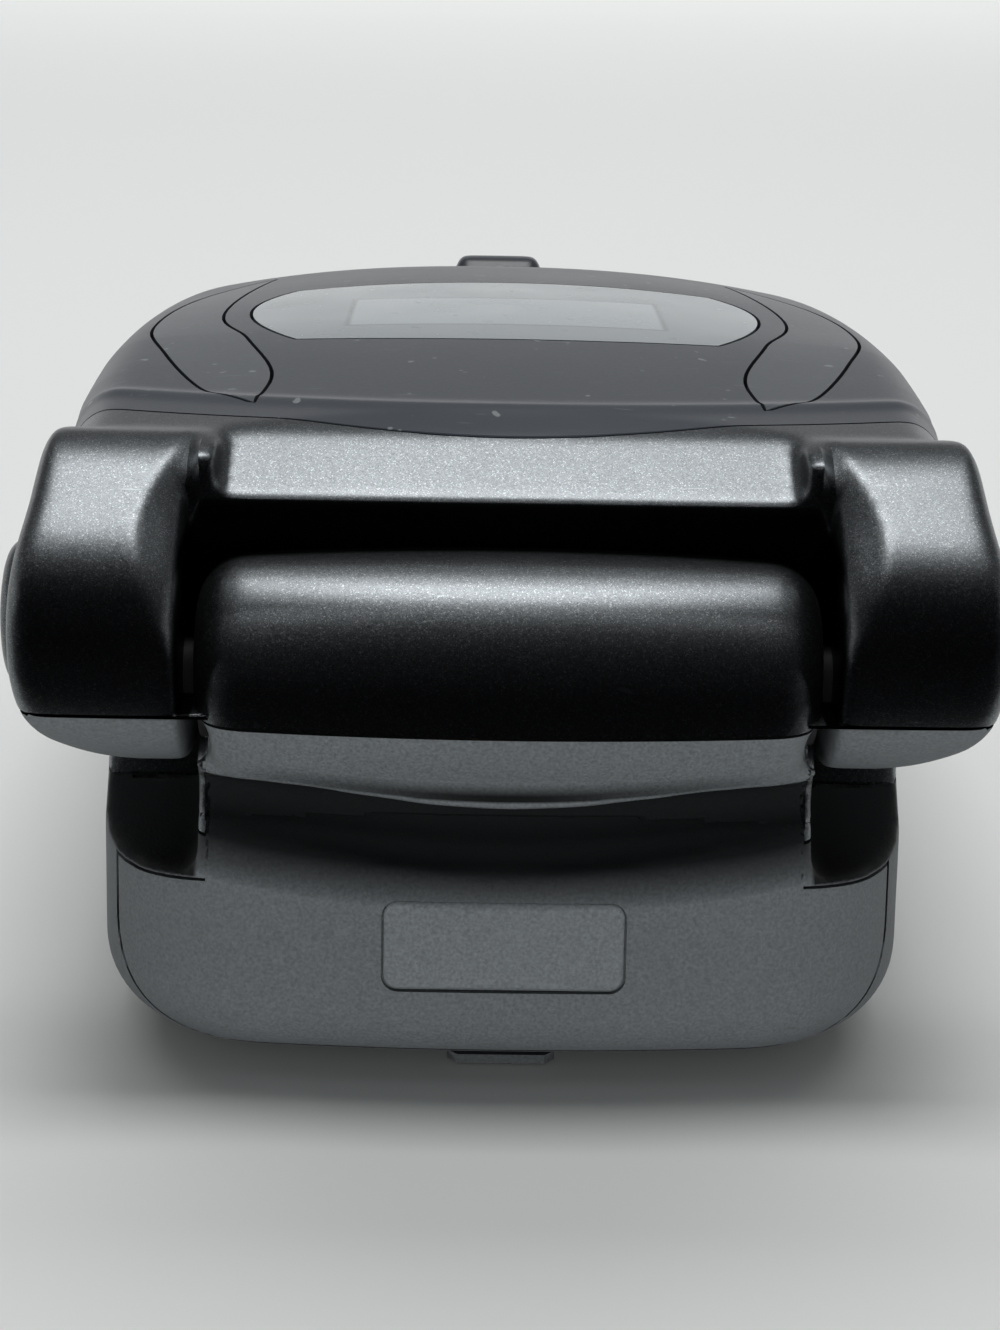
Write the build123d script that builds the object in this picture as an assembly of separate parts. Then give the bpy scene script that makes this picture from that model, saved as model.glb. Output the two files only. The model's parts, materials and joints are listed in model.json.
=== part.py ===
"""Clamshell flip phone, closed and lying on its back.

X runs along the hinge, +Y from the hinge end to the free end, +Z up out of the lid.
The origin is the bottom centre of the whole phone. All sizes are in millimetres.
"""

import os
from math import cos, radians, sin, sqrt

from build123d import *

# ---- whole phone -------------------------------------------------------------------------
LENGTH = 86.0  # barrel front to the tip of the thumb lip
FRONT_Y = -LENGTH / 2
FREE_Y = LENGTH / 2
WALL = 1.4  # moulded case walls
JOIN_GAP = 0.05  # between two mouldings or a part and its pocket, on one body
MOVE_GAP = 0.3  # between pieces that move against each other
LAP = 0.1  # how far two stretches of one solid run into each other
FAR = 60.0  # longer than anything it has to cut

# ---- hinge -------------------------------------------------------------------------------
BARREL_R = 5.85
BARREL_HALF = 14.4  # half-length of the base's centre barrel
BARREL_END_ROUND = 2.2
HINGE_Y = FRONT_Y + BARREL_R
HINGE_Z = 19.3
BARREL_SEAM_DROP = 1.35  # the barrel's parting line lies this far below the axis
CHIN_FRONT = 3.0  # the barrel's root starts this far in front of the axis
NECK_DEPTH = 2.0  # the barrel's root under the deck
NECK_LAP = 1.2  # the front case keeps the root from this far in front of the axis
SHAFT_R = 1.5
SHAFT_FIT = 0.05
BUSH_R = 3.2
BUSH_LENGTH = 6.0
CAM_LENGTH = 9.0
FLEX_ROLL_WALL = 0.6
FLEX_ROLL_HALF = 3.6
HINGE_END_GAP = 0.2  # hinge parts stop this short of the barrel's ends

# ---- base --------------------------------------------------------------------------------
BASE_HALF_W = 20.8
BASE_SIDE_BOW = 1.6
BASE_FRONT_BOW = 1.4
BASE_BACK_BOW = 2.5
BASE_FRONT_ROUND = 9.0
BASE_BACK_ROUND = 15.0
BASE_BOTTOM = 0.6  # the case stands clear of the table; the pack's pad touches it
BASE_BOTTOM_ROUND = 3.8
BASE_TOP = 17.0
END_LEAN = 2.2  # the end wall leans back by this much from foot to top
BASE_FOOT_Y = FRONT_Y + 0.6  # foot of the end wall
BASE_BACK_Y = FREE_Y - 1.4
CASE_SPLIT_Z = 11.0  # parting line between front and rear case
DECK_DEPTH = 2.0
WELL_DEPTH = 1.0
SCOOP_R = 9.5  # hollow in which a lid knuckle turns
SCOOP_WALL = 0.8
PANEL_HALF_W = 18.6
PANEL_FOOT_Z = 1.4
PANEL_CORNER = 5.0
PANEL_DEPTH = 9.0
BADGE_W = 11.3
BADGE_H = 4.2
BADGE_Z = 7.2
BADGE_THICK = 0.5
BADGE_ROUND = 0.6

# ---- battery and latch -------------------------------------------------------------------
PACK_FRONT_Y = FRONT_Y + 23.0
PACK_TOP = 7.0
PACK_PAD_INSET = 5.0
BAY_PLATE = 1.0
BULKHEAD = 1.3
LATCH_TRAVEL = 1.4
LATCH_HALF_W = 2.6
LATCH_HEAD = 0.45
LATCH_NOSE_Y = FRONT_Y + 3.8
LATCH_TAIL_Y = FRONT_Y + 15.0
LATCH_CORNER = 0.5
LATCH_STEM_HALF = 1.8
LATCH_STEM_Y = FRONT_Y + 9.0
LATCH_STEM_LENGTH = 4.0
LATCH_CARRIAGE_HALF = 4.0
LATCH_CARRIAGE_LENGTH = 9.0
LATCH_CARRIAGE_H = 1.2
LATCH_TOOTH_HALF = 2.0
LATCH_TOOTH_REACH = 0.9
SPRING_WIRE_GAP = 0.1
CONTACT_XS = (-4.5, 0.0, 4.5)
CONTACT_W = 1.2
CONTACT_Z = 5.4
CONTACT_BACK = 0.6  # the contacts' roots in front of the bulkhead

# ---- keypad ------------------------------------------------------------------------------
WELL_FRONT_Y = FRONT_Y + 17.8
WELL_BACK_Y = FREE_Y - 9.6
WELL_HALF_W = BASE_HALF_W - 5.3
WELL_ROUND = 6.0
WELL_MARGIN = 1.5
KEY_TRAVEL = 0.35
KEY_TOP = 16.8
KEY_FLANGE = 0.5
KEY_FLANGE_EDGE = 0.5
KEY_EDGE_ROUND = 0.45
KEY_CORNER = 2.4
KEY_HEADROOM = 0.2  # between a key's flange and the deck
DIGIT_COLUMNS = 3
DIGIT_ROWS = 4
DIGIT_GAP_X = 1.2
DIGIT_GAP_Y = 2.2
DIGIT_W = (2 * (WELL_HALF_W - WELL_MARGIN) - (DIGIT_COLUMNS - 1) * DIGIT_GAP_X) / DIGIT_COLUMNS
DIGIT_PITCH_X = DIGIT_W + DIGIT_GAP_X
DIGIT_FIRST_Y = WELL_FRONT_Y + 30.4
DIGIT_LAST_Y = WELL_BACK_Y - 5.4
DIGIT_PITCH_Y = (DIGIT_LAST_Y - DIGIT_FIRST_Y) / (DIGIT_ROWS - 1)
DIGIT_H = DIGIT_PITCH_Y - DIGIT_GAP_Y
CALL_H = 5.0
CALL_Y = WELL_FRONT_Y + 20.0
CLEAR_W = 8.2
CLEAR_H = 4.4
CLEAR_Y = WELL_FRONT_Y + 22.2
NAV_R = 7.0
NAV_Y = WELL_FRONT_Y + 10.0
OK_R = 2.7
SOFT_GAP = 1.9  # between a soft key and the ring
SOFT_MARGIN = 1.1
SOFT_W = WELL_HALF_W - SOFT_MARGIN - NAV_R - SOFT_GAP
SOFT_H = 5.0
SOFT_X = NAV_R + SOFT_GAP + SOFT_W / 2
SOFT_Y = WELL_FRONT_Y + 6.6
MAT_THICK = 0.9
MAT_EDGE = 0.3
MAT_FRONT = 2.0
DOME_R = 2.2
DOME_THICK = 0.25
NAV_DOME_R = 5.0  # radius on which the ring's four domes lie
BOARD_THICK = 1.0
BOARD_EDGE = 0.15
SHIELD_W = 28.0
SHIELD_L = 34.0
SHIELD_Y = 2.0
SHIELD_H = 2.4
SHIELD_SHEET = 0.4
SHIELD_CORNER = 1.0
SCREW_R = 0.7
SCREW_HEAD_R = 1.4
SCREW_HEAD_H = 0.8
SCREW_END_GAP = 0.2
SCREW_SEAT = 0.02  # clearance under or beside a seated screw or pad
BOSS_R = 1.8
BASE_SCREW_X = BASE_HALF_W - 3.5
BASE_SCREW_YS = (FRONT_Y + 34.0, FREE_Y - 21.0)

# ---- parts loose in the base -----------------------------------------------------------------
ANTENNA_HALF_W = 13.0
ANTENNA_BACK = 1.8  # reaches this far past the front of the key well
RINGER_X = 11.0
RINGER_Y = FRONT_Y + 14.7
RINGER_R = 4.6
RINGER_H = 3.4
RINGER_ROUND = 0.5
MOTOR_Y = FRONT_Y + 14.0
MOTOR_R = 2.2
MOTOR_OUTER_X = -14.5
MOTOR_L = 7.5
MOTOR_GAP = 0.6
MOTOR_WEIGHT_L = 1.8
MOTOR_WEIGHT_R = 2.0
MOTOR_SPINDLE_R = 0.4
MIC_R = 2.0
MIC_HOLE_R = 0.4
MIC_Y = WELL_BACK_Y + 3.2

# ---- side fittings -----------------------------------------------------------------------
ROCKER_Y = FRONT_Y + 31.0
ROCKER_L = 12.0
ROCKER_H = 2.6
ROCKER_Z = 14.0
ROCKER_DEPTH = 1.5
ROCKER_PROUD = 0.45
ROCKER_CORNER = 1.0
ROCKER_EDGE_ROUND = 0.35
ROCKER_PIVOT_R = 0.5
ROCKER_PIVOT_X = BASE_HALF_W - 0.75
ROCKER_PIVOT_END = 0.4  # the pin's reach past the slot
ROCKER_OUT = BASE_HALF_W + ROCKER_PROUD
ROCKER_IN = BASE_HALF_W - ROCKER_DEPTH
JACK_Y = FRONT_Y + 18.9
JACK_Z = 8.5
JACK_BORE_R = 1.25
JACK_BODY = 4.4
JACK_LENGTH = 9.0
JACK_MOUTH = BASE_HALF_W - 0.95
JACK_NOSE = 3.0
JACK_BACK_WALL = 1.2
PORT_W = 12.0
PORT_H = 2.2
PORT_L = 6.0
PORT_SHEET = 0.4
PORT_INSET = 0.5
PORT_TONGUE_INSET = 1.5
PORT_TONGUE_SIDE = 0.85

# ---- lid ---------------------------------------------------------------------------------
LID_HALF_W = 22.8
LID_SIDE_BOW = 1.1
LID_FRONT_BOW = 1.0
LID_BACK_BOW = 3.0
LID_FRONT_ROUND = 6.0
LID_BACK_ROUND = 17.0
LID_BOTTOM = 17.3
LID_BACK_Y = FREE_Y - 0.8
LID_CROWN_R = 200.0  # across the width
LID_CROWN_RUN = 2.0  # the crown's curve runs on past both ends by this much
LID_TOP_ROUND = 3.4
LID_SPLIT_Z = HINGE_Z - 0.8  # parting line between lid housing and inner tray
COVER_THICK = 1.7
COVER_EDGE_DROP = 4.6  # cover's edge below its crown
COVER_EDGE_TILT = 4.5  # degrees
COVER_FRONT_BOW = 7.5
STRIP_LOW = 8.0  # lower edge of the hinge strip above the axis
SEAM_BACK = 4.0
SEAM_UP = 10.45
CREASE_BACK = 6.5
CREASE_UP = 11.1
CREASE_FALL = 0.5  # the crown's curve falls by this much in front of the crease
CROWN_Y = FRONT_Y + 29.0
CROWN_UP = 11.8
MID_Y = FRONT_Y + 50.0
MID_UP = 11.3
DROP_Y = FREE_Y - 15.0
DROP_UP = 9.1
END_UP = 5.9
POCKET_HALF = 13.5
BARREL_CLEAR_R = 6.9
BARREL_CLEAR_MID_R = 7.15  # the hollow over the barrel, halfway up
BARREL_CLEAR_MID_TURN = 40.0  # degrees above the axis
LID_BULK_BACK = 2.6  # solid stretch of the slab behind the hollow
KNUCKLE_R = 8.0
KNUCKLE_BACK = 2.8
KNUCKLE_UP = 2.6
KNUCKLE_IN = 14.9
KNUCKLE_OUT = LID_HALF_W - 0.1
KNUCKLE_ROUND = 2.8
KNUCKLE_SWEEP_R = 9.2  # no part of a knuckle below the lid reaches further from the axis
CHEEK_BACK = 4.0
SHAFT_END = KNUCKLE_OUT - 2.8
CAP_R = 3.6
CAP_OUT = KNUCKLE_OUT + 0.8
CAP_DEPTH = 1.4
CAP_ROUND = 0.9
CAP_BACK = 2.5
CAP_UP = 1.8
LIP_HALF = 4.6
LIP_TOP_HALF = 2.9
LIP_LENGTH = 2.6
LIP_H = 1.9
LIP_FOOT_DROP = 2.2
LIP_ROUND = 0.5

# ---- lid fittings ------------------------------------------------------------------------
WINDOW_HALF = LID_HALF_W - 8.2
WINDOW_NEAR_HALF = LID_HALF_W - 11.4
WINDOW_NEAR_Y = FRONT_Y + 27.6
WINDOW_NEAR_BOW = 0.7
WINDOW_FAR_HALF = LID_HALF_W - 10.2
WINDOW_FAR_Y = FRONT_Y + 49.4
WINDOW_FAR_BOW = 2.0
WINDOW_TIP_Y = FRONT_Y + 39.5
WINDOW_ROUND = 3.0
WINDOW_THICK = 0.9
SUB_W = 17.2
SUB_H = 9.0
SUB_Y = FRONT_Y + 36.4
SUB_THICK = 1.6
SUB_FRAME = 1.0
SUB_HEADROOM = 0.5
CRESCENT_THICK = 0.8
CRESCENT_NEAR = (LID_HALF_W - 9.6, FRONT_Y + 14.8)
CRESCENT_FAR = (LID_HALF_W - 7.5, FRONT_Y + 60.0)
CRESCENT_INNER = ((LID_HALF_W - 10.2, FRONT_Y + 23.4), (LID_HALF_W - 7.8, FRONT_Y + 33.5),
                  (LID_HALF_W - 6.2, FRONT_Y + 45.0))
CRESCENT_OUTER = ((LID_HALF_W - 3.6, FRONT_Y + 49.0), (LID_HALF_W - 2.5, FRONT_Y + 36.0),
                  (LID_HALF_W - 4.6, FRONT_Y + 24.5))
LID_SCREW_X = LID_HALF_W - 3.5
LID_SCREW_YS = (FRONT_Y + 25.0, FREE_Y - 23.0)
LID_SCREW_SINK = 0.2
LID_BOSS_H = 4.0
LENS_W = 2 * (LID_SCREW_X - SCREW_HEAD_R - 1.4)
LENS_FRONT_Y = FRONT_Y + 23.5
LENS_BACK_Y = FREE_Y - 21.5
LENS_THICK = 0.8
LENS_SINK = 0.1  # the lens lies this far below the tray's face
LENS_CORNER = 0.4
DISPLAY_BORDER_X = 1.5
DISPLAY_BORDER_Y = 2.0
DISPLAY_SEAT = 0.6
DISPLAY_THICK = 2.4
LID_BOARD_HALF_W = LID_SCREW_X - BOSS_R - 0.5
LID_BOARD_FRONT = 2.5
LID_BOARD_BACK = 0.5
LID_BOARD_THICK = 0.8
EARPIECE_R = 4.6
EARPIECE_H = 2.6
EARPIECE_Y = FREE_Y - 14.0
EARPIECE_ROUND = 0.4
SLOT_W = 7.0
SLOT_H = 0.8
SLOT_PITCH = 1.7
BUMPER_R = 1.3
BUMPER_X = 11.0
BUMPER_Y = FREE_Y - 7.0
BUMPER_PROUD = 0.2
BUMPER_DEPTH = 0.5


# ---- small helpers -----------------------------------------------------------------------
def block(x0, x1, y0, y1, z0, z1):
    """Box between two corners."""
    return Pos((x0 + x1) / 2, (y0 + y1) / 2, (z0 + z1) / 2) * Box(x1 - x0, y1 - y0, z1 - z0)


def rod_x(x0, x1, y, z, r):
    """Cylinder along X."""
    return Pos((x0 + x1) / 2, y, z) * Rot(0, 90, 0) * Cylinder(r, abs(x1 - x0))


def rod_z(x, y, z0, z1, r):
    """Cylinder along Z."""
    return Pos(x, y, (z0 + z1) / 2) * Cylinder(r, z1 - z0)


def both_sides(shape):
    """A shape and its mirror image across the YZ plane."""
    return shape + mirror(shape, about=Plane.YZ)


def bowed_outline(half_w, y_front, y_back, side_bow, front_bow, back_bow, front_r, back_r):
    """Plan outline with bowed sides and ends and rounded corners."""
    side = half_w - side_bow
    mid = (y_front + y_back) / 2
    front_left, front_right = (-side, y_front + front_bow), (side, y_front + front_bow)
    back_left, back_right = (-side, y_back - back_bow), (side, y_back - back_bow)
    face = make_face([
        ThreePointArc(front_left, (0, y_front), front_right),
        ThreePointArc(front_right, (half_w, mid), back_right),
        ThreePointArc(back_right, (0, y_back), back_left),
        ThreePointArc(back_left, (-half_w, mid), front_left),
    ])
    face = fillet(face.vertices().sort_by(Axis.Y)[:2], front_r)
    return fillet(face.vertices().sort_by(Axis.Y)[-2:], back_r)


def save(node, shape):
    """Write one node, as one solid or as a group of its separate solids."""
    solids = shape.solids()
    export_step(solids[0] if len(solids) == 1 else Compound(solids), f"parts/{node}.step")
    print(node, len(solids), round(sum(s.volume for s in solids), 2))


# ---- forms that several pieces share -------------------------------------------------------
def base_outline(y_front, inset):
    return bowed_outline(
        BASE_HALF_W - inset, y_front + inset, BASE_BACK_Y - inset, BASE_SIDE_BOW,
        BASE_FRONT_BOW, BASE_BACK_BOW, BASE_FRONT_ROUND - inset, BASE_BACK_ROUND - inset)


def base_form(inset=0.0):
    """The base's outside, or the same form set in by a wall."""
    foot = BASE_BOTTOM + inset
    low = Pos(0, 0, foot) * base_outline(BASE_FOOT_Y, inset)
    top = Pos(0, 0, BASE_TOP) * base_outline(BASE_FOOT_Y + END_LEAN, inset)
    body = loft([low, top], ruled=True)
    rim = body.edges().filter_by(lambda e: e.center().Z < foot + 0.01)
    return fillet(rim, BASE_BOTTOM_ROUND - inset)


def lid_plan(inset=0.0):
    return bowed_outline(
        LID_HALF_W - inset, FRONT_Y + inset, LID_BACK_Y - inset, LID_SIDE_BOW,
        LID_FRONT_BOW, LID_BACK_BOW, LID_FRONT_ROUND - inset, LID_BACK_ROUND - inset)


def lid_crown(inset=0.0):
    """Doubly crowned top: the lengthwise curve swept about a long axis under the lid."""
    z = HINGE_Z - inset
    front, back = FRONT_Y - LID_CROWN_RUN, FREE_Y + LID_CROWN_RUN
    front_z = z + CREASE_UP - CREASE_FALL
    top = Spline((front, front_z), (HINGE_Y + CREASE_BACK, z + CREASE_UP), (CROWN_Y, z + CROWN_UP),
                 (MID_Y, z + MID_UP), (DROP_Y, z + DROP_UP), (back, z + END_UP))
    face = make_face([
        top,
        Line((back, z + END_UP), (back, 0)),
        Line((back, 0), (front, 0)),
        Line((front, 0), (front, front_z)),
    ])
    axis = Axis((0, 0, HINGE_Z + CROWN_UP - LID_CROWN_R), (0, 1, 0))
    crown = revolve(Plane.YZ * face, axis=axis, revolution_arc=30)
    return crown.rotate(axis, -15)


def lid_front_cut(inset=0.0):
    """Side view of the lid's slab at its hinge end: hollow for the barrel, strip and crease."""
    y, z = HINGE_Y, HINGE_Z
    strip_low = (y + inset, z + STRIP_LOW)
    seam = (y + SEAM_BACK + inset / 2, z + SEAM_UP - inset)
    crease = (y + CREASE_BACK, z + CREASE_UP - inset)
    drop = HINGE_Z - LID_BOTTOM
    heel = (y + sqrt(BARREL_CLEAR_R ** 2 - drop ** 2), LID_BOTTOM)
    turn = radians(BARREL_CLEAR_MID_TURN)
    hollow = (y + BARREL_CLEAR_MID_R * cos(turn), z + BARREL_CLEAR_MID_R * sin(turn))
    face = make_face([
        Line(strip_low, seam),
        Line(seam, crease),
        Line(crease, (y + CREASE_BACK, FAR)),
        Line((y + CREASE_BACK, FAR), (FAR, FAR)),
        Line((FAR, FAR), (FAR, LID_BOTTOM)),
        Line((FAR, LID_BOTTOM), heel),
        ThreePointArc(heel, hollow, strip_low),
    ])
    return extrude(Plane.YZ * face, FAR, both=True)


def lid_slab(inset=0.0):
    """The lid's slab with its crowned top and rounded shoulders."""
    plan = extrude(Pos(0, 0, LID_BOTTOM) * lid_plan(inset), FAR)
    slab = plan & lid_crown(inset)
    shoulder = slab.edges().filter_by(Axis.Z, reverse=True).filter_by(lambda e: e.center().Z > HINGE_Z)
    return fillet(shoulder, LID_TOP_ROUND - inset) & lid_front_cut(inset)


def knuckle():
    """One lid knuckle, on the +X side, with its domed outer end."""
    y, z = HINGE_Y + KNUCKLE_BACK, HINGE_Z + KNUCKLE_UP
    roll = rod_x(KNUCKLE_IN, KNUCKLE_OUT, y, z, KNUCKLE_R)
    roll = fillet(roll.edges().sort_by(Axis.X)[-1], KNUCKLE_ROUND)
    above = block(0, FAR, -FAR, FAR, LID_BOTTOM, FAR)
    swept = rod_x(0, FAR, HINGE_Y, HINGE_Z, KNUCKLE_SWEEP_R)
    cheek = rod_x(POCKET_HALF, KNUCKLE_IN + LAP, y, z, KNUCKLE_R)
    cheek -= block(0, FAR, -FAR, HINGE_Y, -FAR, FAR)
    cheek -= rod_x(0, FAR, HINGE_Y, HINGE_Z, STRIP_LOW)
    cheek &= block(0, FAR, -FAR, HINGE_Y + KNUCKLE_BACK + CHEEK_BACK, HINGE_Z, FAR)
    return (roll & (above + swept)) + cheek


def scoop_zone(extra=0.0):
    """Space that both knuckles turn in, or the outside of its liner."""
    inner = BARREL_HALF + JOIN_GAP - extra
    return both_sides(rod_x(inner, FAR, HINGE_Y, HINGE_Z, SCOOP_R + extra))


def panel_zone(gap=0.0):
    """The stretch of the base's shell that the end panel takes."""
    seam_z = HINGE_Z - BARREL_SEAM_DROP + gap
    half = PANEL_HALF_W + gap
    foot = PANEL_FOOT_Z - gap
    face = make_face(Polyline((-half, foot), (half, foot), (half, seam_z), (-half, seam_z), close=True))
    face = fillet(face.vertices().sort_by(Axis.Y)[:2], PANEL_CORNER)
    return Pos(0, FRONT_Y + PANEL_DEPTH + gap, 0) * Rot(90, 0, 0) * extrude(face, PANEL_DEPTH + gap + WALL)


DECK_LOW = BASE_TOP - DECK_DEPTH
KEY_FLANGE_TOP = DECK_LOW - KEY_HEADROOM
KEY_FOOT = KEY_FLANGE_TOP - KEY_FLANGE
MAT_TOP = KEY_FOOT - KEY_TRAVEL - JOIN_GAP
MAT_LOW = MAT_TOP - MAT_THICK
BOARD_TOP = MAT_LOW - DOME_THICK
BOARD_LOW = BOARD_TOP - BOARD_THICK
BAY_ROOF = PACK_TOP + MOVE_GAP
FLOOR_TOP = BAY_ROOF + BAY_PLATE
BULKHEAD_BACK = PACK_FRONT_Y - MOVE_GAP
BULKHEAD_FRONT = BULKHEAD_BACK - BULKHEAD
SKIN_TOP = BASE_BOTTOM + WALL
INNER_HINGE_END = HINGE_Y + SCOOP_R + SCOOP_WALL + MOVE_GAP + LAP
CARRIAGE_LOW = SKIN_TOP + MOVE_GAP
CARRIAGE_TOP = CARRIAGE_LOW + LATCH_CARRIAGE_H
LENS_Y = (LENS_FRONT_Y + LENS_BACK_Y) / 2
LENS_L = LENS_BACK_Y - LENS_FRONT_Y
DISPLAY_W = LENS_W - 2 * DISPLAY_BORDER_X
DISPLAY_L = LENS_L - 2 * DISPLAY_BORDER_Y
DISPLAY_TOP = LID_SPLIT_Z + DISPLAY_THICK
LID_BOARD_TOP = DISPLAY_TOP + LID_BOARD_THICK
SUB_TOP = HINGE_Z + MID_UP - COVER_THICK - SUB_HEADROOM

OUTER = base_form()
INNER = base_form(WALL)
SCOOP = scoop_zone()
LINER = scoop_zone(SCOOP_WALL)


def key_outline(x, y, w, h):
    """A key's place, its cap's size and its corner radius."""
    return Pos(x, y, 0), w, h, min(KEY_CORNER, h / 2 - LAP)


def key_outlines():
    """Key name to its outline."""
    keys = {}
    names = (("1", "2", "3"), ("4", "5", "6"), ("7", "8", "9"), ("star", "0", "hash"))
    for row, labels in enumerate(names):
        for column, label in enumerate(labels):
            x, y = (1 - column) * DIGIT_PITCH_X, DIGIT_FIRST_Y + row * DIGIT_PITCH_Y
            keys[f"key_{label}"] = key_outline(x, y, DIGIT_W, DIGIT_H)
    keys["key_send"] = key_outline(DIGIT_PITCH_X, CALL_Y, DIGIT_W, CALL_H)
    keys["key_end"] = key_outline(-DIGIT_PITCH_X, CALL_Y, DIGIT_W, CALL_H)
    keys["key_clear"] = key_outline(0, CLEAR_Y, CLEAR_W, CLEAR_H)
    keys["key_soft_left"] = key_outline(SOFT_X, SOFT_Y, SOFT_W, SOFT_H)
    keys["key_soft_right"] = key_outline(-SOFT_X, SOFT_Y, SOFT_W, SOFT_H)
    return keys


KEYS = key_outlines()


# ---- base mouldings ------------------------------------------------------------------------
def barrel():
    roll = rod_x(-BARREL_HALF, BARREL_HALF, HINGE_Y, HINGE_Z, BARREL_R)
    roll = fillet(roll.edges().filter_by(GeomType.CIRCLE), BARREL_END_ROUND)
    root = block(-BARREL_HALF, BARREL_HALF, HINGE_Y - CHIN_FRONT, HINGE_Y + SCOOP_R,
                 DECK_LOW - NECK_DEPTH, BASE_TOP)
    return roll + root


def barrel_bore():
    return rod_x(-FAR, FAR, HINGE_Y, HINGE_Z, BUSH_R + JOIN_GAP)


def base_shell():
    """Outer walls of the base with the barrel, before it is parted into mouldings."""
    return (OUTER - INNER) + barrel() - SCOOP - barrel_bore()


def front_case():
    above = block(-FAR, FAR, -FAR, FAR, CASE_SPLIT_Z, FAR)
    deck = OUTER & block(-FAR, FAR, -FAR, FAR, DECK_LOW, BASE_TOP)
    liner = (LINER & OUTER) - block(-FAR, FAR, INNER_HINGE_END, FAR, -FAR, FAR)
    case = (base_shell() & above) + deck
    case = case - panel_zone() + liner
    case += barrel() & block(-FAR, FAR, HINGE_Y - NECK_LAP, FAR, DECK_LOW, FAR)
    case -= SCOOP + barrel_bore()
    well_mid = (WELL_FRONT_Y + WELL_BACK_Y) / 2
    well = RectangleRounded(2 * WELL_HALF_W, WELL_BACK_Y - WELL_FRONT_Y, WELL_ROUND)
    case -= extrude(Pos(0, well_mid, BASE_TOP - WELL_DEPTH) * well, FAR)
    for x in (-BASE_SCREW_X, BASE_SCREW_X):
        for y in BASE_SCREW_YS:
            case += rod_z(x, y, BOARD_TOP, DECK_LOW, BOSS_R)
            case -= rod_z(x, y, BOARD_TOP, DECK_LOW - SCREW_END_GAP, SCREW_R + JOIN_GAP)
    for place, w, h, r in KEYS.values():
        hole = RectangleRounded(w + 2 * MOVE_GAP, h + 2 * MOVE_GAP, r + MOVE_GAP)
        case -= Pos(0, 0, DECK_LOW - LAP) * place * extrude(hole, FAR)
    case -= rod_z(0, NAV_Y, DECK_LOW - LAP, FAR, NAV_R + MOVE_GAP)
    case -= rod_z(0, MIC_Y, DECK_LOW - LAP, FAR, MIC_HOLE_R)
    case -= rocker_opening()
    return case.solids().sort_by(SortBy.VOLUME)[-1]


def rear_case():
    below = block(-FAR, FAR, -FAR, FAR, -FAR, CASE_SPLIT_Z - JOIN_GAP)
    bay = block(-FAR, FAR, BULKHEAD_BACK, FAR, -FAR, BAY_ROOF)
    cavity = INNER & (block(-FAR, FAR, -FAR, BULKHEAD_FRONT, -FAR, FAR)
                      + block(-FAR, FAR, -FAR, FAR, FLOOR_TOP, FAR))
    case = (OUTER & below) - cavity - bay
    case -= panel_zone(JOIN_GAP)
    case -= scoop_zone(SCOOP_WALL + JOIN_GAP)
    for x in (-BASE_SCREW_X, BASE_SCREW_X):
        for y in BASE_SCREW_YS:
            case += rod_z(x, y, FLOOR_TOP, BOARD_LOW, BOSS_R) & INNER
            case -= rod_z(x, y, BAY_ROOF, FAR, SCREW_R + JOIN_GAP)
            case -= rod_z(x, y, BAY_ROOF, BAY_ROOF + SCREW_HEAD_H, SCREW_HEAD_R + JOIN_GAP)
    case -= latch_slot()
    tooth_half = LATCH_TOOTH_HALF + MOVE_GAP
    case -= block(-tooth_half, tooth_half, BULKHEAD_FRONT - LAP, BULKHEAD_BACK + LAP,
                  CARRIAGE_LOW - MOVE_GAP, CARRIAGE_TOP + MOVE_GAP)
    for x in CONTACT_XS:
        case -= block(x - CONTACT_W / 2 - JOIN_GAP, x + CONTACT_W / 2 + JOIN_GAP,
                      BULKHEAD_FRONT - LAP, BULKHEAD_BACK + LAP,
                      CONTACT_Z - CONTACT_W / 2 - JOIN_GAP, CONTACT_Z + CONTACT_W / 2 + JOIN_GAP)
    case -= rod_x(-FAR, JACK_NOSE - JACK_MOUTH, JACK_Y, JACK_Z, JACK_BODY / 2 + JOIN_GAP)
    port_z = FLOOR_TOP + JOIN_GAP
    case -= block(-PORT_W / 2 - JOIN_GAP, PORT_W / 2 + JOIN_GAP, BASE_BACK_Y - PORT_L, FAR,
                  port_z, port_z + PORT_H + JOIN_GAP)
    return case.solids().sort_by(SortBy.VOLUME)[-1]


def latch_slot():
    """Slot in the underside that the latch's stem runs in."""
    front = LATCH_STEM_Y - LATCH_STEM_LENGTH / 2 - LATCH_TRAVEL - MOVE_GAP
    back = LATCH_STEM_Y + LATCH_STEM_LENGTH / 2 + MOVE_GAP
    half = LATCH_STEM_HALF + MOVE_GAP
    return block(-half, half, front, back, 0, SKIN_TOP + LAP)


def end_panel():
    panel = base_shell() & panel_zone()
    panel -= block(-FAR, FAR, HINGE_Y - NECK_LAP - JOIN_GAP, FAR, DECK_LOW, FAR)
    panel -= scoop_zone(SCOOP_WALL + JOIN_GAP)
    panel -= badge_recess(JOIN_GAP) + latch_slot()
    return panel.solids().sort_by(SortBy.VOLUME)[-1]


def badge_recess(gap=0.0):
    """Shallow pocket for the blank plate, following the leaning end wall."""
    face = RectangleRounded(BADGE_W + 2 * gap, BADGE_H + 2 * gap, BADGE_ROUND)
    block_out = Pos(0, 0, BADGE_Z) * Rot(90, 0, 0) * extrude(face, FAR)
    return block_out - base_form(BADGE_THICK + gap)


def badge_plate():
    return badge_recess() & base_form(BADGE_THICK / 2)


# ---- battery and latch -----------------------------------------------------------------------

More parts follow.
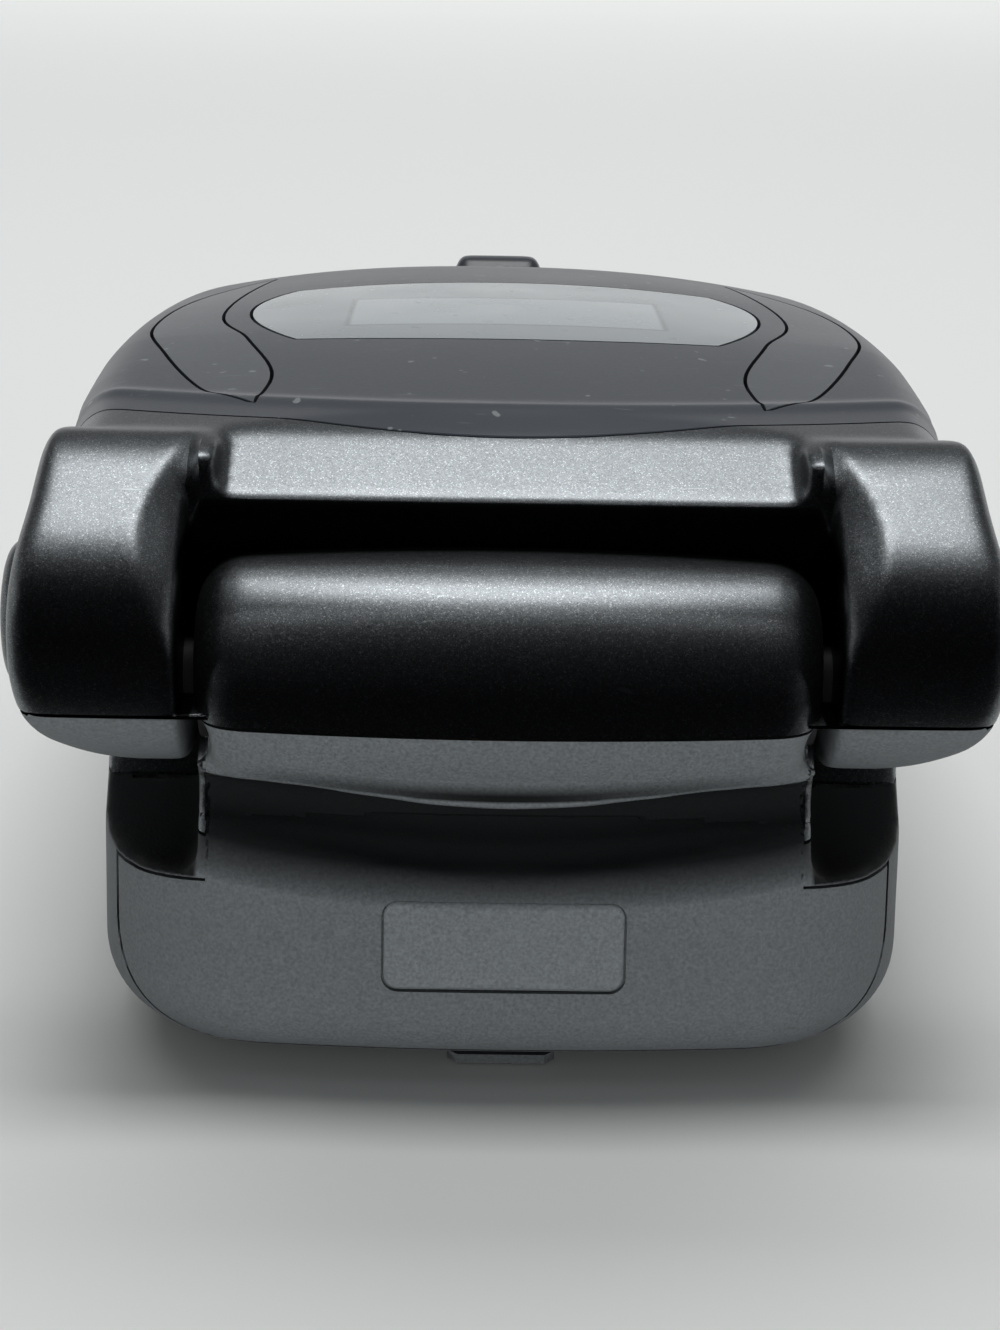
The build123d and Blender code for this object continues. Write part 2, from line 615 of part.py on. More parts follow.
def battery_pack():
    pack = OUTER & block(-FAR, FAR, PACK_FRONT_Y, FAR, -FAR, PACK_TOP)
    pad = extrude(base_outline(BASE_FOOT_Y, PACK_PAD_INSET), BASE_BOTTOM + LAP)
    pad &= block(-FAR, FAR, PACK_FRONT_Y + PACK_PAD_INSET, FAR, 0, FAR)
    notch_half = LATCH_TOOTH_HALF + MOVE_GAP
    notch = block(-notch_half, notch_half, PACK_FRONT_Y - LAP, PACK_FRONT_Y + LATCH_TOOTH_REACH + MOVE_GAP,
                  CARRIAGE_LOW - MOVE_GAP, CARRIAGE_TOP + MOVE_GAP)
    return pack + pad - notch


def battery_latch():
    """Thumb slide under the hinge end, with its tooth in the pack's notch."""
    head_top = BASE_BOTTOM - JOIN_GAP
    head = block(-LATCH_HALF_W, LATCH_HALF_W, LATCH_NOSE_Y, LATCH_TAIL_Y, head_top - LATCH_HEAD, head_top)
    head = chamfer(head.edges().filter_by(Axis.Z), LATCH_CORNER)
    stem = block(-LATCH_STEM_HALF, LATCH_STEM_HALF, LATCH_STEM_Y - LATCH_STEM_LENGTH / 2,
                 LATCH_STEM_Y + LATCH_STEM_LENGTH / 2, head_top - LAP, CARRIAGE_TOP)
    carriage = block(-LATCH_CARRIAGE_HALF, LATCH_CARRIAGE_HALF, LATCH_STEM_Y - LATCH_STEM_LENGTH / 2,
                     LATCH_STEM_Y + LATCH_CARRIAGE_LENGTH, CARRIAGE_LOW, CARRIAGE_TOP)
    tooth = block(-LATCH_TOOTH_HALF, LATCH_TOOTH_HALF, LATCH_STEM_Y, PACK_FRONT_Y + LATCH_TOOTH_REACH,
                  CARRIAGE_LOW, CARRIAGE_TOP)
    return head + stem + carriage + tooth


def latch_springs():
    """Two small springs between the carriage and the bulkhead, as their coils' outer form."""
    back = BULKHEAD_FRONT - SPRING_WIRE_GAP
    front = LATCH_STEM_Y + LATCH_CARRIAGE_LENGTH + SPRING_WIRE_GAP
    x = (LATCH_TOOTH_HALF + LATCH_CARRIAGE_HALF) / 2
    coil = Pos(x, (front + back) / 2, (CARRIAGE_LOW + CARRIAGE_TOP) / 2) * Rot(90, 0, 0)
    return both_sides(coil * Cylinder(LATCH_CARRIAGE_H / 2 - SPRING_WIRE_GAP, back - front))


def battery_contacts():
    half = CONTACT_W / 2
    contacts = [block(x - half, x + half, BULKHEAD_FRONT - CONTACT_BACK, BULKHEAD_BACK + LAP,
                      CONTACT_Z - half, CONTACT_Z + half) for x in CONTACT_XS]
    return Part() + contacts


# ---- keypad and boards -------------------------------------------------------------------------
def key_cap(place, w, h, r):
    cap = extrude(Pos(0, 0, KEY_FLANGE_TOP) * RectangleRounded(w, h, r), KEY_TOP - KEY_FLANGE_TOP)
    cap = fillet(cap.faces().sort_by(Axis.Z)[-1].edges(), KEY_EDGE_ROUND)
    edge = KEY_FLANGE_EDGE
    flange = extrude(Pos(0, 0, KEY_FOOT) * RectangleRounded(w + 2 * edge, h + 2 * edge, r + edge), KEY_FLANGE)
    return place * (cap + flange)


def nav_ring():
    ring = rod_z(0, NAV_Y, KEY_FLANGE_TOP, KEY_TOP, NAV_R)
    ring = fillet(ring.edges().sort_by(Axis.Z)[-1], KEY_EDGE_ROUND)
    ring += rod_z(0, NAV_Y, KEY_FOOT, KEY_FLANGE_TOP, NAV_R + KEY_FLANGE_EDGE)
    return ring - rod_z(0, NAV_Y, 0, FAR, OK_R + MOVE_GAP)


def ok_key():
    cap = rod_z(0, NAV_Y, KEY_FOOT, KEY_TOP, OK_R)
    return fillet(cap.edges().sort_by(Axis.Z)[-1], KEY_EDGE_ROUND)


def inner_plate(inset, y0, y1, z0, z1):
    """Flat plate that follows the inside of the base."""
    plan = extrude(Pos(0, 0, z0) * base_outline(BASE_FOOT_Y + END_LEAN, inset), z1 - z0)
    return plan & block(-FAR, FAR, y0, y1, z0, z1)


def main_board():
    board = inner_plate(WALL + BOARD_EDGE, INNER_HINGE_END, FAR, BOARD_LOW, BOARD_TOP)
    for x in (-BASE_SCREW_X, BASE_SCREW_X):
        for y in BASE_SCREW_YS:
            board -= rod_z(x, y, 0, FAR, SCREW_R + JOIN_GAP)
    return board


def keypad_mat():
    half_w = WELL_HALF_W - MAT_EDGE
    return block(-half_w, half_w, WELL_FRONT_Y + MAT_FRONT, WELL_BACK_Y, MAT_LOW, MAT_TOP)


def key_domes():
    spots = [place.position for place, _, _, _ in KEYS.values()]
    spots += [Vector(0, NAV_Y, 0)]
    spots += [Vector(NAV_DOME_R, NAV_Y), Vector(-NAV_DOME_R, NAV_Y),
              Vector(0, NAV_Y + NAV_DOME_R), Vector(0, NAV_Y - NAV_DOME_R)]
    domes = [rod_z(s.X, s.Y, BOARD_TOP, MAT_LOW, DOME_R) for s in spots]
    return Part() + domes


def shield_can():
    half_w, half_l, low = SHIELD_W / 2, SHIELD_L / 2, BOARD_LOW - SHIELD_H
    can = block(-half_w, half_w, SHIELD_Y - half_l, SHIELD_Y + half_l, low, BOARD_LOW)
    can = fillet(can.edges().filter_by(Axis.Z), SHIELD_CORNER)
    half_w, half_l = half_w - SHIELD_SHEET, half_l - SHIELD_SHEET
    return can - block(-half_w, half_w, SHIELD_Y - half_l, SHIELD_Y + half_l, low + SHIELD_SHEET, BOARD_LOW)


def base_screws():
    screws = []
    for x in (-BASE_SCREW_X, BASE_SCREW_X):
        for y in BASE_SCREW_YS:
            head = rod_z(x, y, BAY_ROOF + SCREW_SEAT, BAY_ROOF + SCREW_HEAD_H, SCREW_HEAD_R)
            screws.append(head + rod_z(x, y, BAY_ROOF + LAP, DECK_LOW - 2 * SCREW_END_GAP, SCREW_R))
    return Part() + screws


def antenna():
    return block(-ANTENNA_HALF_W, ANTENNA_HALF_W, INNER_HINGE_END + MOVE_GAP, WELL_FRONT_Y + ANTENNA_BACK,
                 BOARD_TOP, DECK_LOW - LAP)


def ringer():
    can = rod_z(RINGER_X, RINGER_Y, SKIN_TOP, SKIN_TOP + RINGER_H, RINGER_R)
    return fillet(can.edges().sort_by(Axis.Z)[-1], RINGER_ROUND)


def vibration_motor():
    """Motor can with its half-round weight on the spindle."""
    y, z = MOTOR_Y, SKIN_TOP + MOTOR_R
    face_x = MOTOR_OUTER_X + MOTOR_L
    weight_x = face_x + MOTOR_GAP
    end_x = weight_x + MOTOR_WEIGHT_L
    weight = rod_x(weight_x, end_x, y, z, MOTOR_WEIGHT_R) - block(-FAR, FAR, y, FAR, 0, FAR)
    return rod_x(MOTOR_OUTER_X, face_x, y, z, MOTOR_R) + rod_x(face_x, end_x, y, z, MOTOR_SPINDLE_R) + weight


def microphone():
    return rod_z(0, MIC_Y, BOARD_TOP, DECK_LOW - LAP, MIC_R)


def headset_jack():
    """Socket for a headset plug; its nose fills the hole in the side wall."""
    mouth, half = -JACK_MOUTH, JACK_BODY / 2
    nose = rod_x(mouth, mouth + JACK_NOSE, JACK_Y, JACK_Z, half)
    body = block(mouth + JACK_NOSE - LAP, mouth + JACK_LENGTH + JACK_BACK_WALL, JACK_Y - half, JACK_Y + half,
                 JACK_Z - half, JACK_Z + half)
    return nose + body - rod_x(mouth - LAP, mouth + JACK_LENGTH, JACK_Y, JACK_Z, JACK_BORE_R)


def data_connector():
    """Multi-way socket in the free end: a metal shell around a tongue."""
    low, high = FLOOR_TOP + 2 * JOIN_GAP, FLOOR_TOP + PORT_H
    front, mouth = BASE_BACK_Y - PORT_L, BASE_BACK_Y - PORT_INSET
    half = PORT_W / 2
    shell = block(-half, half, front, mouth, low, high)
    half = PORT_W / 2 - PORT_SHEET
    hollow = block(-half, half, front + WALL, FAR, low + PORT_SHEET, high - PORT_SHEET)
    half = PORT_W / 2 - PORT_TONGUE_INSET
    tongue = block(-half, half, front, BASE_BACK_Y - PORT_TONGUE_INSET,
                   low + PORT_TONGUE_SIDE, high - PORT_TONGUE_SIDE)
    return shell - hollow + tongue


# ---- volume rocker -----------------------------------------------------------------------------

def rocker_pin(reach, radius):
    """Pivot pin of the rocker, or its bore, past the slot by a reach."""
    half_h = ROCKER_H / 2 + MOVE_GAP + reach
    return rod_z(ROCKER_PIVOT_X, ROCKER_Y, ROCKER_Z - half_h, ROCKER_Z + half_h, radius)


def rocker_opening():
    half_l = ROCKER_L / 2 + MOVE_GAP
    half_h = ROCKER_H / 2 + MOVE_GAP
    slot = block(ROCKER_IN - MOVE_GAP, FAR, ROCKER_Y - half_l, ROCKER_Y + half_l,
                 ROCKER_Z - half_h, ROCKER_Z + half_h)
    return slot + rocker_pin(ROCKER_PIVOT_END + LAP, ROCKER_PIVOT_R + SHAFT_FIT)


def volume_rocker():
    bar = block(ROCKER_IN, ROCKER_OUT, ROCKER_Y - ROCKER_L / 2, ROCKER_Y + ROCKER_L / 2,
                ROCKER_Z - ROCKER_H / 2, ROCKER_Z + ROCKER_H / 2)
    bar = fillet(bar.edges().filter_by(Axis.X), ROCKER_CORNER)
    bar = fillet(bar.faces().sort_by(Axis.X)[-1].edges(), ROCKER_EDGE_ROUND)
    return bar + rocker_pin(ROCKER_PIVOT_END, ROCKER_PIVOT_R)


# ---- hinge pieces --------------------------------------------------------------------------------
def hinge_cam_unit():
    inner = HINGE_END_GAP - BARREL_HALF
    tube = rod_x(inner, inner + CAM_LENGTH, HINGE_Y, HINGE_Z, BUSH_R)
    return tube - rod_x(-FAR, 0, HINGE_Y, HINGE_Z, SHAFT_R + SHAFT_FIT)


def hinge_bush():
    outer = BARREL_HALF - HINGE_END_GAP
    tube = rod_x(outer - BUSH_LENGTH, outer, HINGE_Y, HINGE_Z, BUSH_R)
    return tube - rod_x(0, FAR, HINGE_Y, HINGE_Z, SHAFT_R + SHAFT_FIT)


def hinge_shaft(side, reach):
    """Shaft from inside the barrel, where it reaches this deep, to the knuckle's blind bore."""
    return rod_x(side * (BARREL_HALF - reach), side * (SHAFT_END - HINGE_END_GAP), HINGE_Y, HINGE_Z, SHAFT_R)


def hinge_flex():
    roll = rod_x(-FLEX_ROLL_HALF, FLEX_ROLL_HALF, HINGE_Y, HINGE_Z, BUSH_R)
    return roll - rod_x(-FAR, FAR, HINGE_Y, HINGE_Z, BUSH_R - FLEX_ROLL_WALL)


# ---- lid mouldings -------------------------------------------------------------------------------
SLAB = lid_slab()
SLAB_IN = lid_slab(COVER_THICK)
LID_FORM = SLAB + both_sides(knuckle())
SHAFT_BORES = both_sides(rod_x(POCKET_HALF - LAP, SHAFT_END, HINGE_Y, HINGE_Z, SHAFT_R + SHAFT_FIT))
CAP_BORES = both_sides(
    rod_x(CAP_OUT - CAP_DEPTH - JOIN_GAP, FAR, HINGE_Y + CAP_BACK, HINGE_Z + CAP_UP, CAP_R + JOIN_GAP))


def cover_zone(gap=0.0):
    """Space above the cover's tilted edge and behind its bowed front seam."""
    edge_z = HINGE_Z + CROWN_UP - COVER_EDGE_DROP - gap
    half_space = Pos(0, CROWN_Y, edge_z) * Rot(-COVER_EDGE_TILT, 0, 0) * Pos(0, 0, FAR / 2) * Box(
        4 * FAR, 4 * FAR, FAR)
    seam_y = HINGE_Y + SEAM_BACK - gap
    side_y = seam_y + COVER_FRONT_BOW
    front = make_face([
        ThreePointArc((-LID_HALF_W, side_y), (0, seam_y), (LID_HALF_W, side_y)),
        Line((LID_HALF_W, side_y), (2 * LID_HALF_W, 2 * FREE_Y)),
        Line((2 * LID_HALF_W, 2 * FREE_Y), (-2 * LID_HALF_W, 2 * FREE_Y)),
        Line((-2 * LID_HALF_W, 2 * FREE_Y), (-LID_HALF_W, side_y)),
    ])
    return half_space & extrude(front, FAR)


def window_outline(grow=0.0):
    """Rounded window, widest behind its middle and a little narrower towards the hinge."""
    near, far = WINDOW_NEAR_Y - grow, WINDOW_FAR_Y + grow
    near_half, far_half = WINDOW_NEAR_HALF + grow, WINDOW_FAR_HALF + grow
    near_y, far_y = near + WINDOW_NEAR_BOW, far - WINDOW_FAR_BOW
    tip = (WINDOW_HALF + grow, WINDOW_TIP_Y)
    face = make_face([
        ThreePointArc((-near_half, near_y), (0, near), (near_half, near_y)),
        ThreePointArc((near_half, near_y), tip, (far_half, far_y)),
        ThreePointArc((far_half, far_y), (0, far), (-far_half, far_y)),
        ThreePointArc((-far_half, far_y), (-tip[0], tip[1]), (-near_half, near_y)),
    ])
    return fillet(face.vertices(), WINDOW_ROUND)


def crescent_outline(grow=0.0):
    """Leaf-shaped side panel, on the +X side."""
    near = (CRESCENT_NEAR[0], CRESCENT_NEAR[1] - grow)
    far = (CRESCENT_FAR[0], CRESCENT_FAR[1] + grow)
    inner = Spline(near, *[(x - grow, y) for x, y in CRESCENT_INNER], far)
    outer = Spline(far, *[(x + grow, y) for x, y in CRESCENT_OUTER], near)
    return make_face([inner, outer])


def lens_zone(outline, depth):
    """Layer of the cover's top, of the given depth, inside an outline."""
    return extrude(Pos(0, 0, HINGE_Z) * outline, FAR) - lid_slab(depth)


def lid_cover():
    cover = (SLAB - SLAB_IN) & cover_zone()
    lip_low = HINGE_Z + END_UP - LIP_FOOT_DROP
    lip_y = FREE_Y - LIP_LENGTH / 2
    lip_foot = Pos(0, lip_y, lip_low) * Rectangle(2 * LIP_HALF, LIP_LENGTH)
    lip_head = Pos(0, lip_y, lip_low + LIP_FOOT_DROP + LIP_H) * Rectangle(2 * LIP_TOP_HALF, LIP_LENGTH)
    lip = loft([lip_foot, lip_head], ruled=True)
    lip = fillet(lip.edges().filter_by(lambda e: e.center().Z > lip_low + LAP), LIP_ROUND)
    cover += lip - SLAB_IN
    cover -= lens_zone(window_outline(JOIN_GAP), WINDOW_THICK + JOIN_GAP)
    cover -= both_sides(lens_zone(crescent_outline(JOIN_GAP), CRESCENT_THICK + JOIN_GAP))
    view_w, view_h = SUB_W / 2 + SUB_FRAME, SUB_H / 2 + SUB_FRAME
    cover -= block(-view_w, view_w, SUB_Y - view_h, SUB_Y + view_h, 0, FAR)
    return cover.solids().sort_by(SortBy.VOLUME)[-1]


def outer_window():
    return SLAB & lens_zone(window_outline(), WINDOW_THICK)


def crescent():
    return SLAB & lens_zone(crescent_outline(), CRESCENT_THICK)


def lid_housing():
    above = block(-FAR, FAR, -FAR, FAR, LID_SPLIT_Z, FAR)
    bulk_y = HINGE_Y + BARREL_CLEAR_R + LID_BULK_BACK
    hollow = SLAB_IN & block(-FAR, FAR, bulk_y, FAR, -FAR, FAR)
    housing = (LID_FORM & above) - hollow - cover_zone(JOIN_GAP)
    for x in (-LID_SCREW_X, LID_SCREW_X):
        for y in LID_SCREW_YS:
            housing += rod_z(x, y, LID_SPLIT_Z, LID_SPLIT_Z + LID_BOSS_H, BOSS_R) & SLAB
            housing -= rod_z(x, y, 0, LID_SPLIT_Z + LID_BOSS_H - 2 * SCREW_END_GAP, SCREW_R + JOIN_GAP)
    housing -= SHAFT_BORES + CAP_BORES
    return housing.solids().sort_by(SortBy.VOLUME)[-1]


def lid_inner():
    below = block(-FAR, FAR, -FAR, FAR, -FAR, LID_SPLIT_Z - JOIN_GAP)
    tray = LID_FORM & below
    tray -= block(-LENS_W / 2 - JOIN_GAP, LENS_W / 2 + JOIN_GAP, LENS_Y - LENS_L / 2 - JOIN_GAP,
                  LENS_Y + LENS_L / 2 + JOIN_GAP, -FAR, LID_BOTTOM + LENS_THICK + JOIN_GAP)
    view_w, view_l = DISPLAY_W / 2 - DISPLAY_SEAT, DISPLAY_L / 2 - DISPLAY_SEAT
    tray -= block(-view_w, view_w, LENS_Y - view_l, LENS_Y + view_l, -FAR, FAR)
    for step in (-1, 0, 1):
        slot = Pos(0, EARPIECE_Y + step * SLOT_PITCH, 0) * SlotOverall(SLOT_W, SLOT_H)
        tray -= extrude(slot, FAR)
    for x in (-LID_SCREW_X, LID_SCREW_X):
        for y in LID_SCREW_YS:
            tray -= rod_z(x, y, 0, FAR, SCREW_R + JOIN_GAP)
            tray -= rod_z(x, y, 0, LID_BOTTOM + LID_SCREW_SINK + SCREW_HEAD_H, SCREW_HEAD_R + JOIN_GAP)
    for x in (-BUMPER_X, BUMPER_X):
        tray -= rod_z(x, BUMPER_Y, 0, LID_BOTTOM + BUMPER_DEPTH, BUMPER_R + JOIN_GAP)
    tray -= SHAFT_BORES + CAP_BORES
    return tray.solids().sort_by(SortBy.VOLUME)[-1]


def side_cap():
    y, z = HINGE_Y + CAP_BACK, HINGE_Z + CAP_UP
    cap = rod_x(CAP_OUT - CAP_DEPTH, CAP_OUT, y, z, CAP_R)
    return fillet(cap.edges().sort_by(Axis.X)[-1], CAP_ROUND)


# ---- lid fittings --------------------------------------------------------------------------------
def display_lens():
    low = LID_BOTTOM + LENS_SINK
    plate = extrude(Pos(0, LENS_Y, low) * Rectangle(LENS_W, LENS_L), LID_BOTTOM + LENS_THICK - low)
    return fillet(plate.edges().filter_by(Axis.Z), LENS_CORNER)


def main_display():
    return block(-DISPLAY_W / 2, DISPLAY_W / 2, LENS_Y - DISPLAY_L / 2, LENS_Y + DISPLAY_L / 2,
                 LID_SPLIT_Z, DISPLAY_TOP)


def lid_board():
    return block(-LID_BOARD_HALF_W, LID_BOARD_HALF_W, LENS_FRONT_Y - LID_BOARD_FRONT,
                 LENS_BACK_Y + LID_BOARD_BACK, DISPLAY_TOP, LID_BOARD_TOP)


def sub_display_holder():
    half_w, half_h = SUB_W / 2, SUB_H / 2
    frame = block(-half_w, half_w, SUB_Y - half_h, SUB_Y + half_h, LID_BOARD_TOP, SUB_TOP - SUB_THICK)
    half_w, half_h = half_w - SUB_FRAME, half_h - SUB_FRAME
    return frame - block(-half_w, half_w, SUB_Y - half_h, SUB_Y + half_h, 0, FAR)


def sub_display():
    half_w, half_h = SUB_W / 2, SUB_H / 2
    return block(-half_w, half_w, SUB_Y - half_h, SUB_Y + half_h, SUB_TOP - SUB_THICK, SUB_TOP)


def earpiece():
    can = rod_z(0, EARPIECE_Y, LID_SPLIT_Z, LID_SPLIT_Z + EARPIECE_H, EARPIECE_R)
    return fillet(can.edges().sort_by(Axis.Z)[-1], EARPIECE_ROUND)


def lid_screws():
    screws = []
    for x in (-LID_SCREW_X, LID_SCREW_X):
        for y in LID_SCREW_YS:
            low = LID_BOTTOM + LID_SCREW_SINK
            head = rod_z(x, y, low, low + SCREW_HEAD_H - SCREW_SEAT, SCREW_HEAD_R)
            screws.append(head + rod_z(x, y, low, LID_SPLIT_Z + LID_BOSS_H - 3 * SCREW_END_GAP, SCREW_R))
    return Part() + screws


def lid_bumpers():
    low = LID_BOTTOM - BUMPER_PROUD
    pads = [rod_z(x, BUMPER_Y, low, LID_BOTTOM + BUMPER_DEPTH - SCREW_SEAT, BUMPER_R)
            for x in (-BUMPER_X, BUMPER_X)]
    return Part() + pads


# ---- build ---------------------------------------------------------------------------------------
def build():
    os.makedirs("parts", exist_ok=True)
    pieces = {
        "front_case": front_case,
        "rear_case": rear_case,
        "end_panel": end_panel,
        "badge_plate": badge_plate,
        "battery_pack": battery_pack,
        "battery_latch": battery_latch,
        "latch_springs": latch_springs,
        "battery_contacts": battery_contacts,
        "main_board": main_board,
        "keypad_mat": keypad_mat,
        "key_domes": key_domes,
        "shield_can": shield_can,
        "base_screws": base_screws,
        "antenna": antenna,
        "ringer": ringer,
        "vibration_motor": vibration_motor,
        "microphone": microphone,
        "headset_jack": headset_jack,
        "data_connector": data_connector,
        "volume_rocker": volume_rocker,
        "hinge_cam_unit": hinge_cam_unit,
        "hinge_bush": hinge_bush,
        "hinge_flex": hinge_flex,
        "nav_ring": nav_ring,
        "ok_key": ok_key,
        "lid_cover": lid_cover,
        "lid_housing": lid_housing,
        "lid_inner": lid_inner,
        "outer_window": outer_window,
        "sub_display": sub_display,
        "sub_display_holder": sub_display_holder,
        "lid_board": lid_board,
        "main_display": main_display,
        "display_lens": display_lens,
        "earpiece": earpiece,
        "lid_screws": lid_screws,
        "lid_bumpers": lid_bumpers,
    }
    for node, make in pieces.items():
        save(node, make())
    for node, key in KEYS.items():
        save(node, key_cap(*key))
    save("hinge_shaft_left", hinge_shaft(-1, CAM_LENGTH))
    save("hinge_shaft_right", hinge_shaft(1, BUSH_LENGTH))
    for side, shape in (("crescent", crescent()), ("side_cap", side_cap())):
        save(f"{side}_right", shape)
        save(f"{side}_left", mirror(shape, about=Plane.YZ))


build()
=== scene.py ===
"""Flip phone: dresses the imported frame, laid out as an add-on and run as a script.

X runs along the hinge, +Y from the hinge end to the free end, +Z up out of the closed lid.
All sizes are in metres.
"""

import json
import math

import bmesh
import bpy
from mathutils import Matrix, Vector

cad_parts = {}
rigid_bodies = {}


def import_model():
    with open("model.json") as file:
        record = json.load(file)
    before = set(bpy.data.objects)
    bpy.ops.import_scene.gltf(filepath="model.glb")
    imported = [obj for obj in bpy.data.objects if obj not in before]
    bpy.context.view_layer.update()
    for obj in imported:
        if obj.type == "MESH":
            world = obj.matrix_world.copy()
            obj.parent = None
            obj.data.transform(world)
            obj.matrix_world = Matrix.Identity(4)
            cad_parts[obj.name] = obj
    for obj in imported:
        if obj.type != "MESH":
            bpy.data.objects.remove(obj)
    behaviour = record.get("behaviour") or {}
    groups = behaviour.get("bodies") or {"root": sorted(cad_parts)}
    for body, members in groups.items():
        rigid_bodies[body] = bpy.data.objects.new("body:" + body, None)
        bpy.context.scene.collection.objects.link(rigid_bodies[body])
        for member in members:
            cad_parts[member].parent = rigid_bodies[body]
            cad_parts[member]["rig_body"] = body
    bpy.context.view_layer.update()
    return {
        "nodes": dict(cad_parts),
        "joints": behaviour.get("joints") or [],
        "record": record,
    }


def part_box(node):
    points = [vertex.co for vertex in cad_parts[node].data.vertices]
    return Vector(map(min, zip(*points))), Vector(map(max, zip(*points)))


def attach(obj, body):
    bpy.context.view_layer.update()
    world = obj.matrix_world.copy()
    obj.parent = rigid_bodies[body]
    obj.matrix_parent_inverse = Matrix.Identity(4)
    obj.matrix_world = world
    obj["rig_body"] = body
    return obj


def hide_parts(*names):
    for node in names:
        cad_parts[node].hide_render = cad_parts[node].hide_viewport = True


bl_info = {
    "name": "Flip phone",
    "version": (1, 0, 0),
    "blender": (4, 5, 0),
    "location": "View3D > Sidebar > Flip phone",
    "description": "Builds the shells, finishes and stage of a clamshell phone",
    "category": "Object",
}

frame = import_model()
MM = 0.001


def node_low(node):
    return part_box(node)[0]


def node_high(node):
    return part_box(node)[1]


# ---- places read from the frame --------------------------------------------------------------
HINGE = Vector(next(j["pos_m"] for j in frame["joints"] if j["name"] == "lid_hinge"))
LID_SPLIT_Z = node_low("lid_housing").z
PANEL_SEAM_Z = node_high("end_panel").z


# ---- properties --------------------------------------------------------------------------------
def colour(name, description, default):
    return bpy.props.FloatVectorProperty(
        name=name, description=description, subtype="COLOR", size=3, min=0.0, max=1.0, default=default)


def length(name, description, default):
    return bpy.props.FloatProperty(
        name=name, description=description, subtype="DISTANCE", unit="LENGTH", min=0.0, default=default)


class PhoneColours(bpy.types.PropertyGroup):
    """Colours of the phone's finishes."""

    paint: colour("Paint", "Satin metallic paint of the shells", (0.126, 0.135, 0.141))
    mica: colour("Mica", "Fine flakes in the paint", (0.56, 0.60, 0.60))
    moulding: colour("Moulding", "Textured lower shells", (0.073, 0.080, 0.084))
    cover: colour("Cover", "Matt cover of the lid", (0.034, 0.039, 0.047))
    crescent: colour("Side panels", "Leaf-shaped panels beside the window", (0.050, 0.056, 0.064))
    window: colour("Window", "Tinted window in the cover", (0.21, 0.235, 0.245))
    key: colour("Keys", "Key caps", (0.42, 0.44, 0.46))
    floor: colour("Floor", "Floor and backdrop", (0.67, 0.685, 0.675))


class PhoneSizes(bpy.types.PropertyGroup):
    """Sizes of the phone's finishes."""

    mica_grain: length("Mica grain", "Size of one flake in the paint", 0.045 * MM)
    spark_grain: length("Spark grain", "Size of one grain of the moulded texture", 0.16 * MM)


# ---- shader maths ------------------------------------------------------------------------------
class Sock:
    """A shader socket whose operators add Math nodes."""

    def __init__(self, look, socket):
        self.look, self.socket = look, socket

    def _maths(self, operation, *values, clamp=False):
        settings = {"operation": operation, "use_clamp": clamp}
        return self.look.node("ShaderNodeMath", settings, *values)

    def __add__(self, other):
        return self._maths("ADD", self, other)

    def __sub__(self, other):
        return self._maths("SUBTRACT", self, other)

    def __mul__(self, other):
        return self._maths("MULTIPLY", self, other)

    def __pow__(self, other):
        return self._maths("POWER", self, other)

    def __rsub__(self, other):
        return self._maths("SUBTRACT", other, self)

    __radd__ = __add__
    __rmul__ = __mul__

    def above(self, edge, width):
        """0 below an edge and 1 above it, over a soft width."""
        return self._maths("MULTIPLY", self - edge, 1 / width, clamp=True)

    def clamped(self):
        return self._maths("ADD", self, 0, clamp=True)

    def absolute(self):
        return self._maths("ABSOLUTE", self)


class Nodes:
    """A node tree under construction."""

    def __init__(self, tree):
        self.tree = tree

    def node(self, kind, settings, *values, output=0, **named):
        """Adds a node, sets it, and fills its sockets by order or by name."""
        made = self.tree.nodes.new(kind)
        for key, value in settings.items():
            setattr(made, key, value)
        for key, value in [*enumerate(values), *((k.replace("_", " "), v) for k, v in named.items())]:
            self.fill(made.inputs[key], value)
        return Sock(self, made.outputs[output])

    def fill(self, socket, value):
        if isinstance(value, Sock):
            self.tree.links.new(value.socket, socket)
        elif socket.type == "RGBA" and not isinstance(value, (int, float)):
            socket.default_value = (*value[:3], 1.0)
        else:
            socket.default_value = value

    def part(self, axis, of=None):
        """One coordinate of a vector."""
        return self.node("ShaderNodeSeparateXYZ", {}, of or self.place, output="XYZ".index(axis))

    def mix(self, low, high, factor):
        made = self.tree.nodes.new("ShaderNodeMix")
        made.data_type = "RGBA"
        colours = [s for s in made.inputs if s.type == "RGBA"]
        self.fill(made.inputs[0], factor)
        self.fill(colours[0], low)
        self.fill(colours[1], high)
        return Sock(self, next(s for s in made.outputs if s.type == "RGBA"))


